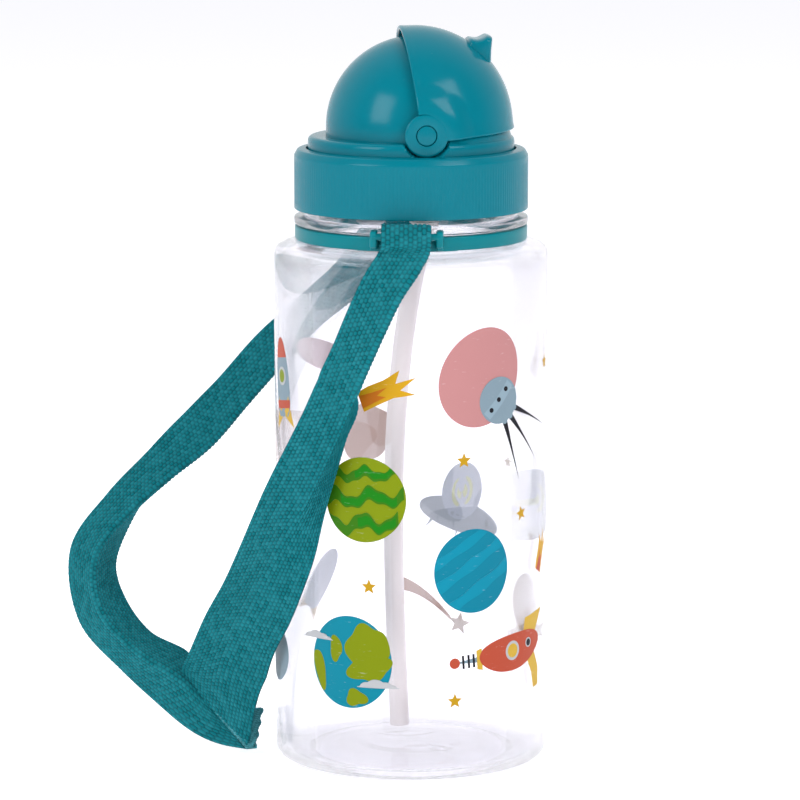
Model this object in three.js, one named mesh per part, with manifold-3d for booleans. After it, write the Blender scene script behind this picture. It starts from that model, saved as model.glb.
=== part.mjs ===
// A child's flip-spout water bottle: a clear bottle, a screw ring that holds down a domed lid,
// a flip cover that hides a soft folding spout, a straw, and a webbing strap on a turning neck ring.
//
// Millimetres, +Z up. The origin is the centre of the base, on the surface that the bottle stands on.
// The cover's hinge runs along Y, and the spout folds down towards +X.

import * as THREE from "three";
import { mergeVertices } from "three/addons/utils/BufferGeometryUtils.js";
import Module from "manifold-3d";

const wasm = await Module();
wasm.setup();

// ---- Driving dimensions ----

const SIDES = 36; // facets round a turned piece
const ARC_STEPS = 4; // facets in a rounded corner
const GAP = 0.3; // kept between pieces that touch

const BODY_RADIUS = 35;
const WALL = 2;
const FOOT_RADIUS = 29; // outer edge of the flat ring that the bottle stands on
const FOOT_INNER = 26.6;
const FOOT_FILLET = 6;
const PUSH_UP = 3.2; // how far the middle of the base is raised
const SHOULDER_Z = 129;
const SHOULDER_TOP = 134.2;

const NECK_RADIUS = 26.6;
const MOUTH_RADIUS = 24.4;
const NECK_TOP = 152.1;
const BEAD_RADIUS = 29.8;
const BEAD_Z = 138.6;
const BEAD_HEIGHT = 2.1;

const THREAD_PITCH = 4;
const THREAD_TURNS = 1.25;
const THREAD_ROOT = 26.2; // where the neck's ridge starts, inside the neck wall
const THREAD_DEPTH = 1.5;
const THREAD_START_Z = 143.5;
const RING_THREAD_DROP = 1.6; // the ring's ridge lies this far below the neck's
const RING_THREAD_TURN = 180; // degrees round from the neck's start

const SCREW_RADIUS = 29.7;
const SCREW_BORE = 28.2;
const SCREW_HOLE = 26.65;
const SCREW_BOTTOM = 142.3;
const SCREW_TOP = 157.1;
const SCREW_ROOF = 1.45;

const PIVOT_X = 1.5; // the cover's hinge, along Y
const PIVOT_Z = 163;
const DOME_RADIUS = 23.15;
const DOME_WALL = 1.5;
const DOME_EDGE_DEG = 84; // where the fixed dome ends, up from +X round the hinge
const CHEEK_RADIUS = 6.2; // what is left of the dome round the hinge studs

const DECK_UNDER = 156.4;
const DECK_TOP = 158.2;
const COLLAR_TOP = 161.2;
const COLLAR_RADIUS = 26.25;
const FLANGE_RADIUS = 27.8;
const FLANGE_UNDER = 153.95;
const PLUG_RADIUS = 24;
const PLUG_WALL = 1.6;
const PLUG_BOTTOM = 147.5;

const COVER_RADIUS = 24.95;
const COVER_WALL = 1.1;
const COVER_X = 1.1; // centre of the cover's ball
const COVER_Z = 163.5;
const COVER_LIP_Z = 161.9; // the cover's lower edge, above the hinge
const COVER_LIP_RISE_DEG = 2.8;
const COVER_REAR_DEG = 99.6;
const COVER_REAR_OFFSET = 0.8;
const EAR_RADIUS = 5.4;
const EAR_INNER = 23.55;
const EAR_OUTER = 25.2;
const STUD_RADIUS = 2.45;
const NOTCH_RADIUS = 6;
const TAB_WIDTH = 13;

const SPOUT_X = 3.4; // the straw's axis, where the spout folds
const SPOUT_Z = 164;
const SPOUT_RADIUS = 3.9;
const SPOUT_LENGTH = 19.2;
const SPOUT_BORE = 2;
const SOCKET_RADIUS = 4.2;
const SOCKET_WALL = 1.6;
const SOCKET_BOTTOM = 141.5;
const ADAPTER_BOTTOM = 136.8;
const ADAPTER_TOP = 149.6;

const STRAW_RADIUS = 2.5;
const STRAW_BORE = 1.9;
const STRAW_TOP = 146.2;
const STRAW_BOTTOM = 8;

const VENT_X = -11.1;
const VENT_Y = -9;
const VENT_RADIUS = 4;
const VENT_BORE = 1.3;

const LUG_TURN_DEG = -7.4; // the strap ring, as it happens to be turned
const RING_INNER = 27;
const RING_OUTER = 29.6;
const RING_BOTTOM = 134.6;
const RING_TOP = 138.2;
const LUG_PLATE = { width: 25, inner: 28, outer: 30.2 };
const LUG_POST = { width: 1.8, spread: 8.2, outer: 35, bottom: 136.2, top: 140.7 };
const BAR_OUT = 34.2;
const BAR_Z = 139.6;
const BAR_RADIUS = 0.9;

const BAND_WIDTH = 12.5; // 25 mm webbing folded in half along its length
const BAND_THICKNESS = 2.2;
const BAND_LOOP = 2.5; // radius of the band's middle round a bar
const BAND_STEPS = 76;
const SEAM_SIZE = [11, 3.2, 7.6]; // the sewn joint: along the fin, thick, high

// ---- Helpers ----

/** A material of one colour. */
function finish(colour, roughness, extra = {}) {
  return new THREE.MeshStandardMaterial({ color: colour, roughness, metalness: 0, ...extra });
}

const clearPlastic = finish(0xe9edf3, 0.05, { transparent: true, opacity: 0.3 });
const tealGloss = finish(0x0a8f9c, 0.25);
const tealRing = finish(0x0a8c8c, 0.35);
const webbing = finish(0x0b7f86, 0.9);
const clearSilicone = finish(0xe4e2e0, 0.4, { transparent: true, opacity: 0.7 });
const greySilicone = finish(0x9aa0a3, 0.5);
const strawPlastic = finish(0xeadfdd, 0.3, { transparent: true, opacity: 0.6 });

/** Points (radius, height) on an arc round (r, z), from one angle to the other in degrees. */
function arc(r, z, radius, fromDeg, toDeg, steps = ARC_STEPS) {
  const points = [];
  for (let i = 0; i <= steps; i++) {
    const angle = THREE.MathUtils.degToRad(fromDeg + ((toDeg - fromDeg) * i) / steps);
    points.push([r + radius * Math.cos(angle), z + radius * Math.sin(angle)]);
  }
  return points;
}

/** Six times the volume inside a closed indexed geometry, negative if it is inside out. */
function signedVolume(geometry) {
  const place = geometry.attributes.position;
  const [a, b, c] = [new THREE.Vector3(), new THREE.Vector3(), new THREE.Vector3()];
  let volume = 0;
  for (let i = 0; i < geometry.index.count; i += 3) {
    a.fromBufferAttribute(place, geometry.index.getX(i));
    b.fromBufferAttribute(place, geometry.index.getX(i + 1));
    c.fromBufferAttribute(place, geometry.index.getX(i + 2));
    volume += a.dot(b.cross(c));
  }
  return volume;
}

/** The geometry with shared vertices merged and its faces pointing out. */
function closed(geometry) {
  geometry.deleteAttribute("normal");
  geometry.deleteAttribute("uv");
  const merged = mergeVertices(geometry, 1e-4);
  if (signedVolume(merged) < 0) merged.index.array.reverse();
  return merged;
}

/** A solid that can be joined and cut. */
function solid(geometry) {
  const merged = closed(geometry);
  return new wasm.Manifold(
    new wasm.Mesh({
      numProp: 3,
      vertProperties: new Float32Array(merged.attributes.position.array),
      triVerts: new Uint32Array(merged.index.array),
    }),
  );
}

/** The geometry of a finished solid. */
function geometryOf(body) {
  const mesh = body.getMesh();
  const geometry = new THREE.BufferGeometry();
  geometry.setAttribute("position", new THREE.Float32BufferAttribute(mesh.vertProperties, 3));
  geometry.setIndex(new THREE.BufferAttribute(new Uint32Array(mesh.triVerts), 1));
  geometry.computeVertexNormals();
  return geometry;
}

/** A named sub-part. */
function part(name, body, material) {
  const mesh = new THREE.Mesh(geometryOf(body), material);
  mesh.name = name;
  return mesh;
}

/** A solid turned round the Z axis from a profile of (radius, height) points. */
function turned(profile, sides = SIDES) {
  const points = profile.map(([r, z]) => new THREE.Vector2(r, z));
  const onAxis = points[0].x === 0 && points.at(-1).x === 0;
  if (!onAxis) points.push(points[0].clone());
  return solid(new THREE.LatheGeometry(points, sides).rotateX(Math.PI / 2));
}

/** A plain block between two corners. */
function block([x0, y0, z0], [x1, y1, z1]) {
  const geometry = new THREE.BoxGeometry(x1 - x0, y1 - y0, z1 - z0);
  return solid(geometry.translate((x0 + x1) / 2, (y0 + y1) / 2, (z0 + z1) / 2));
}

/** A pin along Y, between two places on it. */
function crossPin(radius, y0, y1, x = PIVOT_X, z = PIVOT_Z) {
  const geometry = new THREE.CylinderGeometry(radius, radius, y1 - y0, SIDES);
  return solid(geometry.translate(x, (y0 + y1) / 2, z));
}

/** The same solid on both sides of the bottle, at +Y and -Y. */
function bothSides(body) {
  return body.add(body.mirror([0, 1, 0]));
}

/** A path whose cross-section keeps its first axis towards the direction that across(u) gives. */
class FramedPath extends THREE.Curve {
  constructor(curve, across) {
    super();
    this.curve = curve;
    this.across = across;
  }

  getPoint(t, target) {
    return this.curve.getPoint(t, target);
  }

  computeFrenetFrames(segments) {
    const frames = { tangents: [], normals: [], binormals: [] };
    for (let i = 0; i <= segments; i++) {
      const tangent = this.getTangentAt(i / segments);
      const normal = this.across(i / segments).projectOnPlane(tangent).normalize();
      frames.tangents.push(tangent);
      frames.normals.push(normal);
      frames.binormals.push(new THREE.Vector3().crossVectors(tangent, normal));
    }
    return frames;
  }
}

/** A right-handed helix round Z. */
class Helix extends THREE.Curve {
  constructor(radius, startZ, startDeg, turns, pitch) {
    super();
    Object.assign(this, { radius, startZ, startDeg, turns, pitch });
  }

  getPoint(t, target = new THREE.Vector3()) {
    const angle = THREE.MathUtils.degToRad(this.startDeg) + 2 * Math.PI * this.turns * t;
    const height = this.startZ + this.pitch * this.turns * t;
    return target.set(this.radius * Math.cos(angle), this.radius * Math.sin(angle), height);
  }
}

/** A thread's ridge on a wall of that radius, standing out by depth, or in if depth is negative. */
function threadRidge(radius, depth, startZ, startDeg) {
  const base = 0.95;
  const tip = 0.48;
  const section = new THREE.Shape([
    new THREE.Vector2(0, -base),
    new THREE.Vector2(depth, -tip),
    new THREE.Vector2(depth, tip),
    new THREE.Vector2(0, base),
  ]);
  const helix = new Helix(radius, startZ, startDeg, THREAD_TURNS, THREAD_PITCH);
  const outward = (u) => helix.getPoint(u).setZ(0);
  const steps = SIDES * THREAD_TURNS;
  const extrudePath = new FramedPath(helix, outward);
  return solid(new THREE.ExtrudeGeometry(section, { steps, extrudePath }));
}

// ---- The bottle ----

/** The clear bottle: pushed-up base, straight body, shoulder, beaded neck and its thread. */
function makeBottle() {
  const inner = BODY_RADIUS - WALL;
  const bead = [
    [NECK_RADIUS, BEAD_Z],
    [BEAD_RADIUS - 0.5, BEAD_Z],
    [BEAD_RADIUS, BEAD_Z + 0.5],
    [BEAD_RADIUS, BEAD_Z + BEAD_HEIGHT - 0.7],
    [BEAD_RADIUS - 0.5, BEAD_Z + BEAD_HEIGHT - 0.1],
    [NECK_RADIUS, BEAD_Z + BEAD_HEIGHT],
  ];
  const shell = turned([
    [0, PUSH_UP],
    [12, PUSH_UP - 0.3],
    [22, PUSH_UP - 1.4],
    [FOOT_INNER, 0],
    ...arc(FOOT_RADIUS, FOOT_FILLET, FOOT_FILLET, -90, 0),
    ...arc(BODY_RADIUS - 4, SHOULDER_Z, 4, 0, 72),
    [RING_OUTER - 0.4, SHOULDER_TOP],
    [NECK_RADIUS, SHOULDER_TOP],
    ...bead,
    [NECK_RADIUS, NECK_TOP - 0.4],
    [NECK_RADIUS - 0.4, NECK_TOP],
    [MOUTH_RADIUS + 0.4, NECK_TOP],
    [MOUTH_RADIUS, NECK_TOP - 0.4],
    [MOUTH_RADIUS, SHOULDER_TOP - 1],
    [MOUTH_RADIUS + 2, SHOULDER_TOP - 2.2],
    ...arc(inner - 4, SHOULDER_Z - 1, 4, 72, 0),
    ...arc(inner - 4.5, 7.2, 4.5, 0, -90),
    [22, PUSH_UP + 0.4],
    [12, PUSH_UP + 1.9],
    [0, PUSH_UP + 2.2],
  ]);
  return shell.add(threadRidge(THREAD_ROOT, THREAD_DEPTH, THREAD_START_Z, 0));
}

// ---- The screw ring, lid and its seals ----

/** The ring that screws on to the neck and holds the lid's flange down. */
function makeScrewRing() {
  const shell = turned([
    [SCREW_RADIUS - 0.3, SCREW_BOTTOM],
    [SCREW_RADIUS, SCREW_BOTTOM + 0.3],
    ...arc(SCREW_RADIUS - 1.2, SCREW_TOP - 1.2, 1.2, 0, 90, 3),
    [SCREW_HOLE, SCREW_TOP],
    [SCREW_HOLE, SCREW_TOP - SCREW_ROOF],
    [SCREW_BORE, SCREW_TOP - SCREW_ROOF],
    [SCREW_BORE, SCREW_BOTTOM],
  ]);
  const wallRoot = SCREW_BORE + GAP;
  const turnRise = (THREAD_PITCH * RING_THREAD_TURN) / 360;
  const startZ = THREAD_START_Z - RING_THREAD_DROP + turnRise;
  return shell.add(threadRidge(wallRoot, -THREAD_DEPTH, startZ, RING_THREAD_TURN));
}

/** The part of the dome's shell that is cut away so that the spout can rise. */
function domeOpening() {
  const reach = 60;
  const below = PIVOT_Z - COLLAR_TOP + 0.6;
  const front = new THREE.BoxGeometry(reach, 2 * reach, reach + below);
  front.translate(reach / 2, 0, (reach - below) / 2);
  front.rotateY(THREE.MathUtils.degToRad(90 - DOME_EDGE_DEG));
  front.translate(PIVOT_X, 0, PIVOT_Z);
  const cheeks = crossPin(CHEEK_RADIUS, -reach, reach);
  const cheekFeet = block(
    [PIVOT_X - CHEEK_RADIUS, -reach, COLLAR_TOP - 4],
    [PIVOT_X + CHEEK_RADIUS, reach, PIVOT_Z],
  );
  return solid(front).subtract(cheeks).subtract(cheekFeet);
}

/** A closed dome on a short straight wall, from a height up, round the cover's hinge. */
function domeSolid(radius, fromZ) {
  const profile = [[0, fromZ], [radius, fromZ], ...arc(0, PIVOT_Z, radius, 0, 90, 9)];
  profile[profile.length - 1][0] = 0;
  return turned(profile).translate(PIVOT_X, 0, 0);
}

/** The lid: flange and plug, collar, deck, half dome, hinge studs, and two sockets underneath. */
function makeLid() {
  const disc = turned([
    [0, DECK_UNDER],
    [PLUG_RADIUS - PLUG_WALL, DECK_UNDER],
    [PLUG_RADIUS - PLUG_WALL, PLUG_BOTTOM],
    [PLUG_RADIUS, PLUG_BOTTOM],
    [PLUG_RADIUS, FLANGE_UNDER],
    [FLANGE_RADIUS, FLANGE_UNDER],
    [FLANGE_RADIUS, FLANGE_UNDER + 1.35],
    [COLLAR_RADIUS, FLANGE_UNDER + 1.35],
    [COLLAR_RADIUS, SCREW_TOP + 0.4],
    ...arc(COLLAR_RADIUS - 2.2, COLLAR_TOP - 1.7, 1.7, 0, 90, 4),
    [0, COLLAR_TOP],
  ]);
  const dome = domeSolid(DOME_RADIUS, DECK_TOP - 0.7).subtract(domeOpening());
  const hollow = domeSolid(DOME_RADIUS - DOME_WALL, DECK_TOP);
  const notches = bothSides(crossPin(NOTCH_RADIUS, DOME_RADIUS + 0.05, 32));
  const studs = bothSides(crossPin(STUD_RADIUS, DOME_RADIUS - 1.2, EAR_OUTER - 0.1));
  const socket = turned([
    [0, SOCKET_BOTTOM],
    [SOCKET_RADIUS + SOCKET_WALL, SOCKET_BOTTOM],
    [SOCKET_RADIUS + SOCKET_WALL, DECK_UNDER + 0.5],
    [0, DECK_UNDER + 0.5],
  ]).translate(SPOUT_X, 0, 0);
  const vent = turned([
    [0, SOCKET_BOTTOM],
    [VENT_RADIUS, SOCKET_BOTTOM],
    [VENT_RADIUS, DECK_UNDER + 0.5],
    [0, DECK_UNDER + 0.5],
  ]).translate(VENT_X, VENT_Y, 0);
  const spoutBore = bore(SOCKET_RADIUS).translate(SPOUT_X, 0, 0);
  const ventBore = bore(VENT_BORE).translate(VENT_X, VENT_Y, 0);
  return disc
    .add(dome)
    .subtract(hollow)
    .subtract(notches)
    .add(studs)
    .add(socket)
    .add(vent)
    .subtract(spoutBore)
    .subtract(ventBore);
}

/** A hole down through the deck and a socket, round the Z axis. */
function bore(radius) {
  const top = DECK_TOP + 1;
  const bottom = SOCKET_BOTTOM - 1;
  return turned([[0, bottom], [radius, bottom], [radius, top], [0, top]], SIDES / 2);
}

/** The flat seal between the bottle's rim and the lid's flange. */
function makeGasket() {
  const [low, high] = [NECK_TOP + GAP, FLANGE_UNDER - GAP];
  const [inner, outer] = [PLUG_RADIUS + 0.4, NECK_RADIUS + 0.4];
  return turned([[inner, low], [outer, low], [outer, high], [inner, high]]);
}

/** The soft grommet that the spout grows from, pushed down into the lid's socket. */
function makeSpoutBase() {
  const stem = SOCKET_RADIUS - GAP;
  const flange = DECK_TOP + GAP;
  return turned(
    [
      [SPOUT_BORE, ADAPTER_TOP + 0.4],
      [stem, ADAPTER_TOP + 0.4],
      [stem, flange],
      [6.3, flange],
      [6.3, flange + 0.7],
      [5.2, flange + 1.2],
      [SPOUT_BORE, flange + 1.2],
    ],
    SIDES / 2,
  ).translate(SPOUT_X, 0, 0);
}

/** The soft spout, folded down along +X, with a round end where it bends and a beaded mouth. */
function makeSpout() {
  const mouth = SPOUT_RADIUS + 0.4;
  return turned(
    [
      [0, -SPOUT_RADIUS],
      ...arc(0, 0, SPOUT_RADIUS, -75, 0),
      [SPOUT_RADIUS, SPOUT_LENGTH - 2],
      [mouth, SPOUT_LENGTH - 1.6],
      [mouth, SPOUT_LENGTH - 0.4],
      [mouth - 0.4, SPOUT_LENGTH],
      [SPOUT_BORE, SPOUT_LENGTH],
      [SPOUT_BORE, 0.5],
      [0, 0],
    ],
    SIDES / 2,
  )
    .rotate([0, 90, 0])
    .translate(SPOUT_X, 0, SPOUT_Z);
}

/** The sleeve that joins the straw to the lid's socket, with grip rings on its lower end. */
function makeStrawAdapter() {
  const sleeve = STRAW_RADIUS + GAP;
  const ribs = [];
  for (let z = ADAPTER_BOTTOM + 0.8; z < SOCKET_BOTTOM - 1; z += 1.4) {
    ribs.push([sleeve + 0.7, z], [sleeve + 1.1, z + 0.3], [sleeve + 1.1, z + 0.6], [sleeve + 0.7, z + 0.9]);
  }
  const stem = SOCKET_RADIUS - GAP;
  return turned(
    [
      [sleeve, ADAPTER_BOTTOM],
      [sleeve + 0.7, ADAPTER_BOTTOM],
      ...ribs,
      [stem, SOCKET_BOTTOM + 1],
      [stem, ADAPTER_TOP],
      [SPOUT_BORE, ADAPTER_TOP],
      [SPOUT_BORE, STRAW_TOP + 0.4],
      [sleeve, STRAW_TOP + 0.4],
    ],
    SIDES / 2,
  ).translate(SPOUT_X, 0, 0);
}

/** The straw: a tube, straight in its sleeve, that bows towards the middle of the bottle. */
function makeStraw() {
  const section = new THREE.Shape().absarc(0, 0, STRAW_RADIUS, 0, 2 * Math.PI);
  section.holes.push(new THREE.Path().absarc(0, 0, STRAW_BORE, 0, 2 * Math.PI, true));
  const extrudePath = new THREE.CatmullRomCurve3([
    new THREE.Vector3(SPOUT_X, 0, STRAW_TOP),
    new THREE.Vector3(SPOUT_X, 0, 136.6),
    new THREE.Vector3(-0.6, 0, 118),
    new THREE.Vector3(-3.3, 0, 92),
    new THREE.Vector3(-4.5, 0, 66),
    new THREE.Vector3(-4.3, 0, 36),
    new THREE.Vector3(-2.9, 0, STRAW_BOTTOM),
  ]);
  return solid(new THREE.ExtrudeGeometry(section, { steps: 22, curveSegments: 6, extrudePath }));
}

/** The soft vent valve: a stem in the lid's vent and a mushroom head under it. */
function makeVentValve() {
  const head = SOCKET_BOTTOM - GAP;
  const stem = VENT_BORE - GAP;
  return turned(
    [
      [0, head - 2.4],
      [2, head - 2.4],
      [VENT_RADIUS - 0.4, head - 1.3],
      [VENT_RADIUS - 0.4, head],
      [stem, head],
      [stem, head + 4.8],
      [0, head + 4.8],
    ],
    SIDES / 2,
  ).translate(VENT_X, VENT_Y, 0);
}

// ---- The flip cover ----

/** The cover's thumb tab: a fin that leans up and away from the dome. */
function makeTab() {
  const outline = new THREE.Shape();
  outline.moveTo(11.8, 21.2);
  outline.lineTo(13.2, 23.1);
  outline.quadraticCurveTo(16, 22.6, 18.2, 23.6);
  outline.quadraticCurveTo(19.4, 23.4, 19.3, 21.8);
  outline.quadraticCurveTo(18.8, 18.6, 19.3, 16.2);
  outline.lineTo(18.2, 15.4);
  const geometry = new THREE.ExtrudeGeometry(outline, {
    depth: TAB_WIDTH,
    bevelEnabled: false,
    curveSegments: 4,
  });
  geometry.translate(0, 0, -TAB_WIDTH / 2).rotateX(Math.PI / 2);
  return solid(geometry.translate(PIVOT_X, 0, PIVOT_Z));
}

/** A big block whose near face passes through a point and leans from +X by so many degrees. */
function halfSpace(x, z, turnDeg) {
  const reach = 80;
  const geometry = new THREE.BoxGeometry(2 * reach, 2 * reach, reach);
  geometry.translate(0, 0, -reach / 2);
  geometry.rotateY(-THREE.MathUtils.degToRad(turnDeg));
  return solid(geometry.translate(x, 0, z));
}

/** The flip cover: a slice of a ball's shell between two ears, with a thumb tab. */
function makeCover() {
  const ball = (radius) =>
    solid(new THREE.SphereGeometry(radius, SIDES, SIDES / 2)).translate(COVER_X, 0, COVER_Z);
  const below = halfSpace(PIVOT_X, COVER_LIP_Z, COVER_LIP_RISE_DEG);
  const behind = halfSpace(PIVOT_X - COVER_REAR_OFFSET, PIVOT_Z, COVER_REAR_DEG + 180);
  const ears = bothSides(crossPin(EAR_RADIUS, EAR_INNER, EAR_OUTER));
  const studHoles = bothSides(crossPin(STUD_RADIUS + GAP, EAR_INNER - 2, EAR_OUTER + 2));
  return ball(COVER_RADIUS)
    .subtract(below)
    .subtract(behind)
    .add(makeTab())
    .subtract(ball(COVER_RADIUS - COVER_WALL))
    .add(ears)
    .subtract(studHoles);
}

// ---- The strap ring and the strap ----

/** A lug on the strap ring, at -Y: a plate on the ring and two posts that hold a bar. */
function makeLug() {
  const half = LUG_PLATE.width / 2;
  const plate = turned([
    [LUG_PLATE.inner, RING_BOTTOM],
    [LUG_PLATE.outer, RING_BOTTOM],
    [LUG_PLATE.outer, RING_TOP],
    [LUG_PLATE.inner, RING_TOP],
  ]).intersect(block([-half, -40, RING_BOTTOM - 1], [half, 0, RING_TOP + 1]));
  const post = (x) =>
    block(
      [x - LUG_POST.width / 2, -LUG_POST.outer, LUG_POST.bottom],
      [x + LUG_POST.width / 2, -LUG_PLATE.outer + 2.5, RING_TOP],
    ).add(
      block(
        [x - LUG_POST.width / 2, -LUG_POST.outer, LUG_POST.bottom],
        [x + LUG_POST.width / 2, -LUG_PLATE.outer, LUG_POST.top],
      ),
    );
  const barGeometry = new THREE.CylinderGeometry(BAR_RADIUS, BAR_RADIUS, 2 * LUG_POST.spread, 16);
  const bar = solid(barGeometry.rotateZ(Math.PI / 2).translate(0, -BAR_OUT, BAR_Z));
  return plate.add(post(-LUG_POST.spread)).add(post(LUG_POST.spread)).add(bar);
}

/** The ring that turns on the neck, with a lug at the front and one at the back. */
function makeStrapRing() {
  const ring = turned([
    [RING_INNER, RING_BOTTOM],
    [RING_OUTER, RING_BOTTOM],
    [RING_OUTER, RING_TOP],
    [RING_INNER, RING_TOP],
  ]);
  const lug = makeLug();
  return ring
    .add(lug)
    .add(lug.rotate([0, 0, 180]))
    .rotate([0, 0, LUG_TURN_DEG]);
}

/** The band's points round a lug's bar: a short sewn-back end, over the bar and down outside. */
function overBar(turnDeg) {
  const turn = THREE.MathUtils.degToRad(turnDeg);
  const at = (out, z) => new THREE.Vector3(out * Math.sin(turn), -out * Math.cos(turn), z);
  const loop = arc(BAR_OUT, BAR_Z, BAND_LOOP, 180, 0, 4);
  return [[BAR_OUT - BAND_LOOP, RING_BOTTOM + 0.9], ...loop, [36.9, 134.4]].map(([r, z]) => at(r, z));
}

/** One length of the strap along its route. across are directions that its width follows. */
function band(points, across) {
  const [w, t] = [BAND_WIDTH / 2, BAND_THICKNESS / 2];
  const corners = [[-w, -t], [w, -t], [w, t], [-w, t]];
  const section = new THREE.Shape(corners.map(([x, y]) => new THREE.Vector2(x, y)));
  const widths = new THREE.CatmullRomCurve3(across.map((v) => new THREE.Vector3(...v)));
  const route = new THREE.CatmullRomCurve3(points, false, "centripetal");
  const extrudePath = new FramedPath(route, (u) => widths.getPoint(u));
  return solid(new THREE.ExtrudeGeometry(section, { steps: BAND_STEPS, extrudePath }));
}

/** A list of points as vectors. */
const route = (points) => points.map((p) => new THREE.Vector3(...p));

/** From the front lug down beside the bottle to the sewn joint. */
function makeFrontStrap() {
  const down = route([
    [-5.6, -37, 128.2],
    [-13, -37.4, 117.5],
    [-18.9, -36.4, 106.7],
    [-24.4, -33.8, 94.6],
    [-29.9, -29.3, 80],
    [-35, -23, 65],
    [-39.5, -16.3, 51.8],
    [-44, -8.8, 37.9],
    [-47.5, -1.5, 26],
    [-49, 2.4, 15.5],
  ]);
  const across = [
    [-1, 0.13, 0],
    [-1, 0.13, 0],
    [-0.93, 0.09, 0.36],
    [-0.9, 0.1, 0.45],
    [-0.86, 0.1, 0.5],
    [-0.8, 0.2, 0.56],
  ];
  return band([...overBar(LUG_TURN_DEG), ...down], across);
}

/** From the rear lug round in a loose loop at the side to the sewn joint. */
function makeRearStrap() {
  const round = route([
    [2.2, 38, 127.6],
    [-4, 40, 120.8],
    [-12.8, 41.6, 113.8],
    [-23.8, 43, 106],
    [-34.7, 43.4, 97.8],
    [-44.6, 42.6, 87.6],
    [-54.9, 40.4, 76.4],
    [-64.9, 37.4, 66.9],
    [-74.5, 33.9, 59],
    [-80, 29.8, 50.6],
    [-82.1, 25.3, 41.6],
    [-80.5, 20.8, 32.9],
    [-75.2, 16.8, 25.1],
    [-67.1, 12.5, 18.5],
    [-56.5, 8.2, 12],
  ]);
  const across = [
    [-1, 0.13, 0],
    [-1, 0.13, 0],
    [-0.8, 0.1, 0.6],
    [-0.6, 0.2, 0.75],
    [-0.5, 0.5, 0.7],
    [-0.35, 0.85, 0.4],
    [-0.1, 0.95, 0.3],
    [0.1, 0.9, 0.4],
  ];
  return band([...overBar(LUG_TURN_DEG + 180), ...round], across);
}

/** The sewn joint: the two ends of the webbing, face to face, standing out as a fin. */
function makeSeam() {
  const [long, thick, tall] = SEAM_SIZE;
  const geometry = new THREE.BoxGeometry(long, thick, tall).rotateZ(THREE.MathUtils.degToRad(-25));
  return solid(geometry.translate(-46.5, 1.5, 0.8 + tall / 2));
}

// ---- Assembly ----

const bottle = new THREE.Group();
bottle.add(
  part("bottle_shell", makeBottle(), clearPlastic),
  part("screw_ring", makeScrewRing(), tealGloss),
  part("lid_core", makeLid(), tealGloss),
  part("neck_gasket", makeGasket(), clearSilicone),
  part("flip_cover", makeCover(), tealGloss),
  part("spout_base", makeSpoutBase(), clearSilicone),
  part("spout_tube", makeSpout(), clearSilicone),
  part("straw_adapter", makeStrawAdapter(), clearSilicone),
  part("straw", makeStraw(), strawPlastic),
  part("vent_valve", makeVentValve(), greySilicone),
  part("strap_ring", makeStrapRing(), tealRing),
  part("strap_front", makeFrontStrap(), webbing),
  part("strap_rear", makeRearStrap(), webbing),
  part("strap_seam", makeSeam(), webbing),
);

export default bottle;
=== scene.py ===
"""A child's clear drinking bottle with a teal flip lid, a folding spout, a straw and a webbing strap.

Every surface is worked out with numpy, in millimetres, and put into a mesh in metres.
"""

import math

import bpy
import numpy as np
from bpy.props import FloatProperty, FloatVectorProperty, IntProperty, PointerProperty
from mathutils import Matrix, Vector


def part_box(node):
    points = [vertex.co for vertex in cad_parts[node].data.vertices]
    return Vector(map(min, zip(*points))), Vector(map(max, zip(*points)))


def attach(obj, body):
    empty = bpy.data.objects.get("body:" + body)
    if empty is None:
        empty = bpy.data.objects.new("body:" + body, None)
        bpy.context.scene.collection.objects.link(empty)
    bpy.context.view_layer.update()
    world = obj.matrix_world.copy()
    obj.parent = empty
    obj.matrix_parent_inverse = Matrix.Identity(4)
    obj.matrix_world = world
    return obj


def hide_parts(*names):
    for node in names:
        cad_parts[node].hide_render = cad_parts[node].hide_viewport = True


bl_info = {
    "name": "Kids Water Bottle",
    "version": (1, 0, 0),
    "blender": (4, 5, 0),
    "location": "View3D > Sidebar > Bottle",
    "description": "Builds a clear drinking bottle with a flip lid, a straw and a carry strap",
    "category": "Add Mesh",
}

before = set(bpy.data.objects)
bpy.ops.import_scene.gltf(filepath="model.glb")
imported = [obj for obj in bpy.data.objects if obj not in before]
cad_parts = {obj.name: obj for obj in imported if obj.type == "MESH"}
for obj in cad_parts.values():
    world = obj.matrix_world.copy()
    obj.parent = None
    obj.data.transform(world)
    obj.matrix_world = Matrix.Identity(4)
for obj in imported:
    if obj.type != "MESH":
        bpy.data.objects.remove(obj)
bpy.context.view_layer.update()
MM = 0.001


def node_box(node):
    """The lowest and highest corners of a solid of the frame, in millimetres."""
    low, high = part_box(node)
    return np.array(low) / MM, np.array(high) / MM


BODY_RADIUS, NECK_TOP = (float(node_box("bottle_shell")[1][k]) for k in (0, 2))
NECK_RADIUS = 26.6
PIVOT = np.array([1.5, 0.0, 163.0])  # the hinge of the flip cover
DOME_OUTER, DOME_INNER = 23.15, 21.65
COVER_OUTER, COVER_INNER = 24.85, 23.75
COVER_CENTRE = np.array([0.95, 0.0, 163.85])
EAR_REACH, EAR_FACE = 5.45, 25.22
STUD_RADIUS, EAR_HOLE = 2.48, 2.62
SPOUT_X, SPOUT_Z = 3.4, 164.0
VENT_PLACE = (-11.1, -9.0)
THREAD_PITCH = 4.0
LUG_TURN = math.radians(-7.4)
BAR_REACH, BAR_Z = 34.2, 138.9  # the lug bar's distance from the middle, and its height
RING_BOTTOM, RING_TOP = 134.6, 138.2  # the strap ring


# ---- Outlines and surfaces ----


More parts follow.
